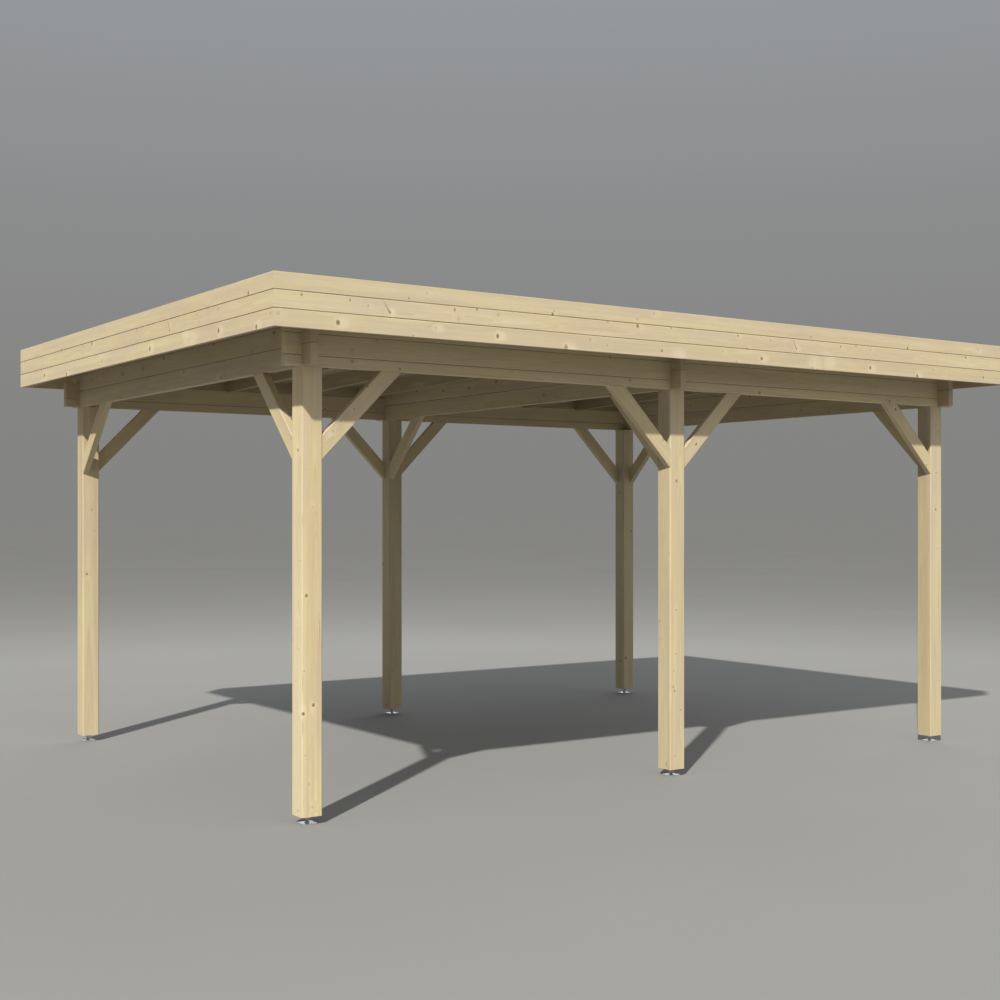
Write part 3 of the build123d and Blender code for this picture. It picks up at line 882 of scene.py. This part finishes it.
fasciaValues = {
    "stations": 25,
    "heights": (0.092, 0.092, 0.088),      # from the lowest board up, m
    "arris": 0.0026,                       # the easing of a board's edges at a joint, m
    "slot": 0.0024,                        # width and depth of the shadow gap, m
    "slotDepth": 0.007,
    "edge": 0.0015,
    "wander": 0.0006,                      # how far a board leaves the straight, m
    "wanderSeed": 7,
    "pithInset": 0.075,                    # from the face to the heart of the log, m
    "pithBelow": 0.05,                     # and below the middle of the fascia
    "seedStep": 10.0,
    "knotShape": (1.0, 0.82),
    "knotGrow": 1.3,
    "hiddenKnots": 0.35,                   # knotShare of the sides that the photograph doesn't show
    "contrast": 0.9,
}
fasciaLow, fasciaHigh = boxOf("fascia_right")
fasciaThickness = fasciaHigh[1] - fasciaLow[1]
fasciaBottom, fasciaTop = fasciaLow[2], fasciaHigh[2]
boardEdges = fasciaBottom + np.append(0.0, np.cumsum(fasciaValues["heights"])) * (
    (fasciaTop - fasciaBottom) / sum(fasciaValues["heights"])
)
random = np.random.default_rng(fasciaValues["wanderSeed"])
along = np.linspace(-1.0, 1.0, fasciaValues["stations"])[:, None]
roofSides = {      # the axis that a side runs along, and which way it looks along the other
    "right": (0, -1.0), "left": (0, 1.0), "front": (1, -1.0), "rear": (1, 1.0),
}
for sideNumber, (side, (runAxis, sign)) in enumerate(roofSides.items()):
    boards = []
    halfRun, halfOut = cadHigh[runAxis], cadHigh[1 - runAxis]
    for number, (low, high) in enumerate(zip(boardEdges[:-1], boardEdges[1:])):
        first, last = number == 0, number == len(boardEdges) - 2
        inward, height = slottedSection(
            low, high, fasciaThickness,
            fasciaValues["edge" if first else "arris"], fasciaValues["edge" if last else "arris"],
            0.0 if last else fasciaValues["slot"], fasciaValues["slotDepth"],
        ).T
        phase = random.uniform(0, 2 * math.pi, 2)
        # The wander: half of (2 - two sine waves along the run), inwards, and none at the corners
        sway = 0.5 * fasciaValues["wander"] * (
            2 - np.sin(2.1 * along * math.pi + phase[0]) - np.sin(3.3 * along * math.pi + phase[1])
        ) * (1 - along**8)
        # The mitre: a point that lies deeper in from the outer face ends as much short of the corner
        stations = pointsOf(runAxis, along * (halfRun - inward), sign * (halfOut - inward - sway), height)
        if (sign > 0) == (runAxis == 1):      # the ring's order, so that its faces point outwards
            stations = stations[:, ::-1]
        own = stations[..., [runAxis, 2, 1 - runAxis]]
        boards.append((stations, own, fasciaValues["seedStep"] * sideNumber + number + seedStart["fascia"]))
    heart = sign * (halfOut - fasciaValues["pithInset"])
    if sign < 0:      # boardSpread moves the pith inwards here, so the heart starts as much further out
        heart -= timberValues["boardSpread"][2]
    pith = (0.0, (fasciaBottom + fasciaTop) / 2 - fasciaValues["pithBelow"], heart)
    node = "fascia_" + side
    knots = knotsOf(
        node, (runAxis, 2, 1 - runAxis), shape=fasciaValues["knotShape"], grow=fasciaValues["knotGrow"])
    timber = timberMaterial(
        "fasciaTimber_" + side, "board", "fascia", pith, knots=knots,
        knotShare=0.0 if knots else fasciaValues["hiddenKnots"], contrast=fasciaValues["contrast"])
    boardSet("fasciaBoards_" + side, boards, timber, (node,))
print("stage: fascia")


# Roof boards: laid lengthwise on the rafters, with arrises and a shadow gap on the underside

roofBoardValues = {      # m
    "cover": 0.096, "arris": 0.003, "slot": 0.002, "slotDepth": 0.007, "back": 0.001, "clear": 0.0006,
    "pith": (-0.03, -0.06),      # from the middle of the roof and from its lowest point
}
deckLow, deckHigh = boxOf("roof_deck")
rafterTop = boxOf("verge_rafter_front")[1][2]
deckHalfWidth = deckHigh[1]
deckHalfLength = deckHigh[0] - roofBoardValues["clear"]
roofFall = (rafterTop - deckLow[2]) / (2 * deckHalfWidth)
boardThickness = deckHigh[2] - rafterTop


def deckUnderside(y):      # a plane that falls evenly towards +Y
    return deckLow[2] + roofFall * (deckHalfWidth - y)


edges = np.append(np.arange(-deckHalfWidth, deckHalfWidth, roofBoardValues["cover"]), deckHalfWidth)
edges[0] += roofBoardValues["clear"]
edges[-1] -= roofBoardValues["clear"]
boards = []
for number, (start, end) in enumerate(zip(edges[:-1], edges[1:])):
    inset, y = slottedSection(
        start, end, boardThickness, roofBoardValues["arris"], roofBoardValues["arris"],
        roofBoardValues["slot"], roofBoardValues["slotDepth"], roofBoardValues["back"],
    ).T
    stations = pointsOf(0, np.array([[-deckHalfLength], [deckHalfLength]]), y, deckUnderside(y) + inset)
    boards.append((stations, stations, seedStart["roof_boards"] + number))
pithY, pithUp = roofBoardValues["pith"]
timber = timberMaterial("roofBoardTimber", "board", "roof", (0.0, pithY, deckLow[2] + pithUp))
boardSet("roofBoards", boards, timber, ("roof_deck",))
print("stage: roof boards")


# Roofing felt: rolls laid along the roof from the low side up, each lapping over the one below it, and a
# strip round the edge that turns up against the fascia

feltValues = {
    "roll": 1.0,            # m, like all here
    "lap": 0.08,
    "thick": 0.003,
    "step": 0.0012,         # where a sheet comes up at a lap's edge
    "ramp": 0.025,          # where it comes down again behind the lap
    "lapLines": (-0.006, -0.0012, 0.0, 0.0003, 0.004, 0.008, 0.014),      # extra lines beside a lap's edge
    "drift": 0.0025,        # how far a lap leaves the straight, and how far from it that is felt
    "driftReach": 0.05,
    "bead": (0.0055, 0.003),      # the width of the squeezed-out bitumen, and how much that changes
    "swell": 0.0009,
    "clear": 0.0005,
    "above": 0.0001,        # from the boards to the sheets' underside
    "strip": 0.11,          # how far the edge strip reaches in over the sheets
    "stripUnder": 0.0005,
    "cove": 0.030,
    "upstand": 0.043,       # above the boards
    "stripWave": 0.0011,
}
feltSteps = {"along": 101, "across": 61, "ramp": 4, "cove": 7, "perSide": 60}


def closedSheet(top, bottom):
    # Points and faces of a body between two grids (n, m, 3) of the same size, closed round its rim
    n, m = top.shape[:2]
    upper = np.arange(n * m).reshape(n, m)
    lower = upper + n * m
    rim = np.concatenate([upper[:-1, 0], upper[-1, :-1], upper[:0:-1, -1], upper[0, :0:-1]])
    nextRim = np.roll(rim, -1)
    walls = np.stack([rim, rim + n * m, nextRim + n * m, nextRim], axis=-1)
    quads = np.concatenate([gridQuads(upper), gridQuads(lower.T), walls])
    return np.concatenate([top.reshape(-1, 3), bottom.reshape(-1, 3)]), quads.tolist()


halfLength = deckHalfLength - feltValues["clear"]
halfWidth = deckHalfWidth - feltValues["clear"]
pitch = feltValues["roll"] - feltValues["lap"]
lapEdges = np.arange(halfWidth - pitch, -halfWidth, -pitch)
lines = [np.linspace(-halfWidth, halfWidth, feltSteps["across"])]
for edge in lapEdges:      # a step at the lap's visible edge and a ramp at its hidden one
    lines.append(edge + np.array(feltValues["lapLines"]))
    lines.append(edge - feltValues["lap"] - feltValues["ramp"] * np.linspace(0.0, 1.0, feltSteps["ramp"]))
across = np.unique(np.concatenate(lines))
along = np.linspace(-halfLength, halfLength, feltSteps["along"])
x, y = np.meshgrid(along, across, indexing="ij")
beadMean, beadChange = feltValues["bead"]
lapHeight, drift, bleed, rollNumber = (np.zeros_like(y) for _ in range(4))
for number, edge in enumerate(lapEdges):
    uphill = edge - y
    # Over a lap a sheet is one thickness higher. It comes up along the step and goes down along the ramp,
    # by 3 * way squared - 2 * way cubed.
    fade = np.clip((uphill - feltValues["lap"]) / feltValues["ramp"], 0, 1)
    rise = np.clip(uphill / feltValues["step"], 0, 1)
    lapHeight = np.maximum(lapHeight, np.where(uphill < 0, 0.0, rise * (1 - fade**2 * (3 - 2 * fade))))
    # Its edge drifts in two sine waves, less with the distance from it: exp(-(uphill / reach) squared)
    wave = np.sin(1.9 * x + 2.1 * number) + 0.6 * np.sin(4.7 * x + number)
    drift += feltValues["drift"] * wave * np.exp(-(uphill / feltValues["driftReach"]) ** 2)
    # The bead of bitumen is squeezed out below a lap, here more and there less
    beadWidth = beadMean + beadChange * np.sin(7.3 * x + number) * np.sin(2.9 * x + 1.3)
    bleed = np.maximum(bleed, np.where(uphill > 0, 0.0, np.exp(-(uphill / beadWidth) ** 4)))
    rollNumber += uphill > 0
# The whole roof swells a little: a broad product of sine waves and half as much of a finer one
swell = feltValues["swell"] * (
    np.sin(3.1 * x + 1.7 * y) * np.sin(5.3 * y - 0.8 * x) + 0.5 * np.sin(11.0 * x + 0.4) * np.sin(7.0 * y)
)
boardTop = deckUnderside(y) + boardThickness
points, quads = closedSheet(
    pointsOf(0, x, y + drift, boardTop + feltValues["thick"] * (1 + lapHeight) + swell),
    pointsOf(0, x, y + drift, boardTop + feltValues["above"]),
)
finishPiece("feltRolls", points, quads, roofFelt, ("roof_felt",), {
    "roll": ("FLOAT", "POINT", np.tile(rollNumber.ravel() + 1, 2)),
    "bleed": ("FLOAT", "POINT", np.concatenate([bleed.ravel(), np.zeros(bleed.size)])),
}, smoothAngle=25)

# The strip is its section carried round the roof in nested rectangles: a point that stands inset from the
# wall runs round a rectangle that is smaller by that inset. Its cove is a quarter of a circle.
thick, cove, strip, upstand, clear, under = (
    feltValues[label] for label in ("thick", "cove", "strip", "upstand", "clear", "stripUnder"))
bends = np.linspace(0, math.pi / 2, feltSteps["cove"])[::-1]
coveLine = np.stack([
    0.005 + cove * (1 - np.cos(bends)), 2.8 * thick + (0.8 * cove) * (1 - np.sin(bends))], axis=-1)
inset, height = np.concatenate([
    [(clear, under), (strip, under), (strip, 2.6 * thick), (strip - 0.002, 2.8 * thick)],
    coveLine,
    [(0.0046, upstand - 0.001), (0.0036, upstand), (clear, upstand)],
]).T
fraction = np.linspace(-1.0, 1.0, feltSteps["perSide"], endpoint=False)
one = np.ones_like(fraction)
cornerX = np.concatenate([one, -fraction, -one, fraction])[:, None]      # anticlockwise from above
cornerY = np.concatenate([fraction, one, -fraction, -one])[:, None]
turnAngle = roundAngles(len(cornerX))[:, None]
# It waves in and out where it is free of the wall, and dips by up to 4% of its height
wave = feltValues["stripWave"] * np.sin(37 * turnAngle) * np.sin(5 * turnAngle + 0.7)
rise = height * (1 - 0.02 * (1 + np.sin(23 * turnAngle)))
inset = inset + np.where(inset > 0.002, wave, 0.0)
ringY = cornerY * (deckHalfWidth - inset)
points = pointsOf(0, cornerX * (deckHalfLength - inset), ringY, deckUnderside(ringY) + boardThickness + rise)
index = np.arange(ringY.size).reshape(ringY.shape)
quads = ringQuads(np.vstack([index, index[:1]])).tolist()
finishPiece("feltEdgeStrip", points, quads, roofFelt, ("felt_upstands",), smoothAngle=35)
print("stage: roofing felt")


# Knee braces: bevelled bars at 45 degrees, sawn upright against the post and level under the beam

braceValues = {      # m
    "width": 0.090, "thickness": 0.044, "leg": 0.485, "bevel": 0.003, "stations": 5,
    "ownStep": 2.0,      # each brace has its own length of the timber's pattern
    "seedStep": 4,
    "pith": (0.0, 0.02, 0.075), "knotShare": 0.05,
}
braceMarks = {      # the board that a knot is on, as post, run axis and direction, then as in knotMarks
    ("front_right", 0, 1.0): [
        (368.0, 386.6, 6, 0.8, 0.2), (354.0, 409.0, 5, 0.7, 0.3), (333.0, 431.0, 9, 0.4, 0.9),
        (341.0, 421.0, 4, 0.6, 0)],
    ("front_right", 1, 1.0): [(291.0, 438.8, 5, 0.8, 0.2), (276.0, 404.0, 5, 0.6, 0)],
    ("middle_right", 0, 1.0): [(732.8, 401.3, 6, 0.7, 0.2), (706.0, 431.0, 6, 0.4, 0.4)],
    ("middle_right", 0, -1.0): [(640.0, 436.0, 6, 0.5, 0.3)],
    ("rear_right", 0, -1.0): [(926.4, 464.9, 6, 0.8, 0.2), (897.0, 428.0, 6, 0.5, 0.2)],
}
braceScrew = {
    "profile": ((0.0030, -0.0030), (0.0046, -0.0004), (0.0044, 0.0003), (0.0020, 0.0003), (0.0017, -0.0014)),
    "fromEnd": 0.050,      # along the bar's outer edge, m
    "apart": 0.020,
    "sides": 12,
}
braceWays = {"front": (1.0,), "middle": (-1.0, 1.0), "rear": (-1.0,)}      # along X, from each post
beamBottom = boxOf("beam_right_1")[0][2]
half, leg, rootTwo = braceValues["thickness"] / 2, braceValues["leg"], math.sqrt(2)


def braceStations(postFace, direction, cross, runAxis):
    # The bar's section is carried from the post's face to the beam's underside. Along the bar, a point
    # of the section is at some depth from the outer edge, and each end plane cuts it where it meets
    # the post (run = 0) or the beam (drop = 0): run and drop add up to leg - depth * root of two.
    width, bevel = braceValues["width"], braceValues["bevel"]
    depth, side = np.array([
        (0.0, -half + bevel), (bevel, -half), (width - bevel, -half), (width, -half + bevel),
        (width, half - bevel), (width - bevel, half), (bevel, half), (0.0, half - bevel),
    ]).T
    share = np.linspace(0.0, 1.0, braceValues["stations"])[:, None]
    run, drop = share * (leg - depth * rootTwo), (1 - share) * (leg - depth * rootTwo)
    stations = pointsOf(runAxis, postFace + direction * run, cross + side, beamBottom - drop)
    own = pointsOf(0, (run - drop) / rootTwo, depth, side)
    if (direction > 0) == (runAxis == 0):
        stations, own = stations[:, ::-1], own[:, ::-1]
    return stations, own


braceSets, braceKnots, screwPlaces, screwWays = {}, [], [], []
for row in rows:
    for side, sign in sideSign.items():
        place = f"{row}_{side}"
        low, high = boxOf("post_" + place)
        outer = high[1] - half if sign > 0 else low[1] + half
        crossX = {"front": low[0] + half, "middle": 0.0, "rear": high[0] - half}[row]
        runs = [(0, direction, high[0] if direction > 0 else low[0], outer) for direction in braceWays[row]]
        runs.append((1, -sign, low[1] if sign > 0 else high[1], crossX))
        boards = []
        for runAxis, direction, face, cross in runs:
            number = len(screwPlaces)
            shift = braceValues["ownStep"] * number
            seed = seedStart["braces"] + braceValues["seedStep"] * number
            stations, own = braceStations(face, direction, cross, runAxis)
            boards.append((stations, own + np.array([shift, 0.0, 0.0]), seed))
            for u, v, radius, strength, glow in braceMarks.get((place, runAxis, direction), ()):
                seen = seenAt(u, v, 1 - runAxis, cross - half)
                run, drop = abs(seen[runAxis] - face), beamBottom - seen[2]
                middle = ((run - drop) / rootTwo + shift, (leg - run - drop) / rootTwo, -half)
                braceKnots.append(knotAt(
                    middle, axisOrder["x"], (0.85, 1.0, knotValues["inwards"]), radius / 1000, strength, glow,
                    knotValues["lean"]))
            # Two screws through the outer edge at each end, driven towards the corner
            reach = leg / rootTwo - braceScrew["fromEnd"]
            ends = np.repeat((-reach, reach), 2) * rootTwo
            apart = np.tile((-0.5, 0.5), 2) * braceScrew["apart"]
            screwPlaces.append(pointsOf(
                runAxis, face + direction * (leg + ends) / 2, cross + apart, beamBottom - (leg - ends) / 2))
            screwWays.append(pointsOf(runAxis, direction / rootTwo, 0 * ends, -1 / rootTwo))
        braceSets[place] = boards
braceTimber = timberMaterial(
    "braceTimber", "board", "beam", braceValues["pith"], knots=braceKnots, knotShare=braceValues["knotShare"])
for place, boards in braceSets.items():
    boardSet("kneeBraces_" + place, boards, braceTimber, ("braces_" + place,))
print("stage: knee braces")


# Screw and nail heads: a small profile of radius and height turned about each head's own axis

def studs(name, places, ways, values, material):
    places, ways = np.concatenate(places), np.concatenate(ways)
    radius, height = np.array(values["profile"]).T[:, None, :, None, None]
    helper = np.where(np.abs(ways[:, 2:]) < 0.9, [[0.0, 0.0, 1.0]], [[1.0, 0.0, 0.0]])
    first = np.cross(helper, ways)
    first /= np.linalg.norm(first, axis=1, keepdims=True)
    second = np.cross(ways, first)
    angles = roundAngles(values["sides"])[None, :, None]
    turn = np.cos(angles) * first[:, None, :] + np.sin(angles) * second[:, None, :]
    points = places[:, None, None, :] + radius * turn[:, None, :, :] + height * ways[:, None, None, :]
    index = np.arange(points[..., 0].size).reshape(points.shape[:3])
    finishPiece(name, points, ringQuads(index).tolist() + endFaces(index), material)


studs("braceScrews", screwPlaces, screwWays, braceScrew, screwSteel)

nailValues = {      # m
    "profile": ((0.0012, -0.0020), (0.0017, 0.0001), (0.0013, 0.0003)),
    "sides": 8,
    "fromEdge": 0.022,       # from a fascia board's edge
    "inset": 0.0006,         # from the outermost face of the fascia
    "vergeStep": 0.49,
    "vergeSteps": 4,         # each way from the middle
    "rafters": 4,            # in a bay, and their section
    "rafterWidth": 0.044,
    "rafterDepth": 0.095,
}
rafterX = []
for row in rowSign:
    low, high = boxOf("rafters_" + row)
    rafterHalf = nailValues["rafterWidth"] / 2
    rafterX += np.linspace(low[0] + rafterHalf, high[0] - rafterHalf, nailValues["rafters"]).tolist()
vergeY = np.arange(-nailValues["vergeSteps"], nailValues["vergeSteps"] + 1) * nailValues["vergeStep"]
nailHeights = np.stack(
    [boardEdges[:-1] + nailValues["fromEdge"], boardEdges[1:] - nailValues["fromEdge"]], axis=-1).ravel()
nailPlaces, nailWays = [], []
for runAxis, sign in roofSides.values():
    out = sign * (cadHigh[1 - runAxis] - nailValues["inset"])
    stops = rafterX if runAxis == 0 else vergeY
    for stop in stops:
        underside = deckUnderside(sign * deckHalfWidth if runAxis == 0 else stop)
        heights = nailHeights[nailHeights > underside - nailValues["rafterDepth"]]
        heights = heights[heights < underside + boardThickness]
        nailPlaces.append(pointsOf(runAxis, stop, out, heights))
        nailWays.append(pointsOf(runAxis, 0.0, sign, 0 * heights))
studs("fasciaNails", nailPlaces, nailWays, nailValues, footSteel)
print("stage: screws and nails")


# Post feet: a plate with four holes, a threaded stem welded to it, a nut and a washer under the post

footValues = {      # m
    "plate": 0.080, "corner": 0.005, "plateThick": 0.006, "spacing": 0.056, "hole": 0.009,
    "stem": 0.020, "threadPitch": 0.0025, "threadDepth": 0.0012,
    "nut": 0.030, "nutHeight": 0.014, "nutEnds": (0.0, 0.0004, 0.0008, 0.0014, 0.0022),
    "washer": 0.060, "washerThick": 0.004, "ease": 0.0006,
    "weldWide": 0.0045, "weldHigh": 0.004,
    "overlap": 0.0005,      # how deep the weld reaches into the stem and the plate
    "intoNut": 0.002,       # how far the stem's ends reach into the nut and the plate
}
footSteps = {"plate": 28, "stem": 28, "stemRings": 76, "weld": 60, "weldRings": 6, "nut": 72, "washer": 64}


def turnedShell(radius, height, steps, closed=True):
    # A profile turned about Z: radius and height have a row for each ring, and a column for each step round
    # it or just one. A closed profile joins its last ring to its first, an open one gets a flat end at each.
    angles = roundAngles(steps)
    points = pointsOf(0, radius * np.cos(angles), radius * np.sin(angles), height).reshape(-1, 3)
    index = np.arange(len(points)).reshape(-1, steps)
    if closed:
        return points, ringQuads(np.vstack([index, index[:1]])).tolist()
    return points, ringQuads(index).tolist() + endFaces(index)


def footPlate():
    # Four mirrored quarters. In each, a ring of points round the hole is joined to the same directions'
    # points on the quarter's edge: the nearest of its four sides and its cut corner.
    half, middle, corner = footValues["plate"] / 2, footValues["spacing"] / 2, footValues["corner"]
    corners = [(0, 0), (half, 0), (half, half - corner), (half - corner, half), (0, half)]
    special = [math.atan2(y - middle, x - middle) % (2 * math.pi) for x, y in corners]
    angles = np.unique(np.round(np.concatenate([roundAngles(footSteps["plate"]), special]), 9))
    c, s = np.cos(angles), np.sin(angles)
    outward, inward, tiny = half - middle, middle, 1e-12
    toSideX = np.where(c > 0, outward, inward) / np.maximum(np.abs(c), tiny)
    toSideY = np.where(s > 0, outward, inward) / np.maximum(np.abs(s), tiny)
    toCorner = (2 * outward - corner) / np.maximum(c + s, tiny)
    reach = np.minimum(np.minimum(toSideX, toSideY), toCorner)
    bore = np.full_like(c, footValues["hole"] / 2)
    lengths = np.stack([bore, bore, reach, reach])
    heights = np.array([[0.0], [1.0], [1.0], [0.0]]) * footValues["plateThick"]
    # No wall where two quarters meet, which is where a point and the next lie on a middle line of the plate
    onMiddle = middle + reach * np.stack([c, s]) < 1e-9
    walled = np.ones(lengths.shape, bool)
    walled[2] = ~(onMiddle & np.roll(onMiddle, -1, axis=-1)).any(axis=0)
    points, faces, start = [], [], 0
    for signX in (1, -1):
        for signY in (1, -1):
            points.append(pointsOf(
                0, signX * (middle + lengths * c), signY * (middle + lengths * s), heights).reshape(-1, 3))
            index = start + np.arange(lengths.size).reshape(lengths.shape)
            quads = ringQuads(np.vstack([index, index[:1]]))[walled.ravel()]
            faces += (quads[:, ::-1] if signX * signY > 0 else quads).tolist()
            start += lengths.size
    return np.concatenate(points), faces


def footParts():
    parts = [footPlate()]
    plateTop, overlap = footValues["plateThick"], footValues["overlap"]
    total = boxOf("foot_front_right")[1][2]
    nutTop = total - footValues["washerThick"]
    nutBottom = nutTop - footValues["nutHeight"]
    # The stem: its radius drops by a rounded groove that winds up it once in every pitch
    low, high = plateTop - footValues["intoNut"], nutBottom + footValues["intoNut"]
    heights = np.linspace(low, high, footSteps["stemRings"])[:, None]
    phase = heights / footValues["threadPitch"] - roundAngles(footSteps["stem"]) / (2 * math.pi)
    groove = 0.5 - 0.5 * np.cos(2 * math.pi * phase)
    stem = footValues["stem"] / 2 - footValues["threadDepth"] * groove
    parts.append(turnedShell(stem, heights, footSteps["stem"], closed=False))
    # The weld: a bead with ripples, a quarter of an ellipse round the stem's foot
    curve = np.linspace(0, math.pi / 2, footSteps["weldRings"])[:, None]
    ripple = 1 + 0.10 * np.sin(19 * roundAngles(footSteps["weld"])) * np.sin(2 * curve)
    inner = footValues["stem"] / 2 - footValues["threadDepth"] - overlap
    beadR = inner + (footValues["weldWide"] + 3 * overlap) * np.cos(curve) * ripple
    beadZ = plateTop + footValues["weldHigh"] * np.sin(curve) * ripple
    steps = footSteps["weld"]
    parts.append(turnedShell(
        np.vstack([beadR, np.full((2, steps), inner * 0.9)]),
        np.vstack([beadZ, beadZ[-1:], np.full((1, steps), plateTop - overlap)]), steps))
    # The nut: a hexagon, apothem / cos(angle from the middle of a flat), cut by a cone at both ends
    steps = footSteps["nut"]
    flat = (roundAngles(steps) + math.pi / 6) % (math.pi / 3) - math.pi / 6
    apothem = footValues["nut"] / 2
    fromEnd = np.array(footValues["nutEnds"])[:, None]
    depth = np.vstack([fromEnd, fromEnd[::-1]])
    heights = np.vstack([nutBottom + fromEnd, nutTop - fromEnd[::-1]])
    outer = np.minimum(apothem / np.cos(flat), apothem * 0.985 + 1.7 * depth)
    bore = np.full((2, steps), inner)
    parts.append(turnedShell(
        np.vstack([outer, bore]), np.vstack([heights, heights[-1:], heights[:1]]), steps))
    # The washer, with its edges eased
    ease, wide = footValues["ease"], footValues["washer"] / 2
    radius, height = np.array([
        (wide - ease, nutTop), (wide, nutTop + ease), (wide, total - ease), (wide - ease, total),
        (inner, total), (inner, nutTop),
    ]).T[:, :, None]
    parts.append(turnedShell(radius, height, footSteps["washer"]))
    return parts


footPoints, footFaces, start = [], [], 0
for points, faces in footParts():
    footPoints.append(points)
    footFaces += [[start + corner for corner in face] for face in faces]
    start += len(points)
footPoints = np.concatenate(footPoints)
for row in rows:
    for side in sides:
        node = f"foot_{row}_{side}"
        finishPiece(
            f"postFoot_{row}_{side}", footPoints + centreOf(node) * (1.0, 1.0, 0.0), footFaces, footSteel,
            (node,), smoothAngle=30)
print("stage: feet")


# Floor, light and background

studio = {
    "reach": 500.0,                         # half the floor's width, m
    "lines": 41,                            # of its grid, each way
    "near": (0.252, 0.252, 0.246, 1.0),     # the floor by the object, and out where the background starts
    "far": (0.149, 0.149, 0.147, 1.0),
    "fade": (120.0, 7.0),                   # distances from the middle between which the floor changes, m
    "floorRough": 0.9,
    "horizon": (0.233, 0.233, 0.227, 1.0),  # the far floor as it is lit, so that no edge shows there
    "sky": (0.36, 0.38, 0.41, 1.0),
    "bright": (0.68, 0.69, 0.70, 1.0),      # a broad soft light on the right-hand side
    "brightWay": (0.15, -0.86, 0.48),
}
lightValues = {
    "key": {      # the way it falls, its strength, how wide it is in degrees and its colour
        "way": (0.870, 0.719, -1.0), "strength": 4.6, "angle": 1.2, "colour": (1.0, 0.97, 0.90),
    },
    "fill": {     # very soft, from behind, for the two sides that the key light doesn't reach
        "way": (-0.66, -0.62, -0.42), "strength": 1.1, "angle": 60.0, "colour": (0.95, 0.97, 1.0),
    },
}

floorMaterial, shader = newMaterial("paleFloor")
floorPoint = objectPoint()
mottle = noise(floorPoint, 0.35, 4.0)
# Seen from eye height a distance shrinks to its reciprocal, so the change runs evenly over that
closeness = calc("DIVIDE", 1.0, calc("MAXIMUM", vectorCalc("LENGTH", floorPoint), 0.1))
nearShare = between(closeness, *(1 / distance for distance in studio["fade"]))
floorTone = mixColour(nearShare, studio["far"], studio["near"])
floorTone = vectorCalc("SCALE", floorTone, scale=between(mottle, 0.3, 0.7, 0.985, 1.015))
put(shader.inputs["Base Color"], floorTone)
put(shader.inputs["Roughness"], studio["floorRough"])
put(shader.inputs["Specular IOR Level"], 0.0)
# A level square whose lines crowd towards the middle: reach * share of the way, squared
line = np.linspace(-1.0, 1.0, studio["lines"])
line = studio["reach"] * np.sign(line) * line**2
index = np.arange(line.size**2).reshape(line.size, line.size)
floorMesh = bpy.data.meshes.new("studioFloor")
floorMesh.from_pydata(pointsOf(0, line[:, None], line, 0.0).reshape(-1, 3), [], gridQuads(index).tolist())
floorMesh.materials.append(floorMaterial)
floor = bpy.data.objects.new("studioFloor", floorMesh)
scene.collection.objects.link(floor)

for name, values in lightValues.items():
    lamp = bpy.data.objects.new(name + "Light", bpy.data.lights.new(name + "Light", "SUN"))
    scene.collection.objects.link(lamp)
    lamp.data.energy = values["strength"]
    lamp.data.angle = math.radians(values["angle"])
    lamp.data.color = values["colour"]
    way = np.array(values["way"]) / np.linalg.norm(values["way"])
    lamp.rotation_euler = (math.acos(-way[2]), 0.0, math.atan2(way[1], way[0]) - math.pi / 2)

world = bpy.data.worlds.new("softSky")
scene.world = world
world.use_nodes = True
current["tree"] = world.node_tree
skyWay = newNode("ShaderNodeTexCoord").outputs["Generated"]
_, _, height = split(skyWay)
skyTone = mixColour(between(height, 0.02, 0.6), studio["horizon"], studio["sky"])
brightShare = between(vectorCalc("DOT_PRODUCT", skyWay, studio["brightWay"]), 0.1, 0.95)
brightShare = times(brightShare, between(height, 0.0, 0.22))
background = world.node_tree.nodes["Background"]
put(background.inputs["Color"], mixColour(brightShare, skyTone, studio["bright"]))
put(background.inputs["Strength"], 1.0)
print("stage: floor and light")
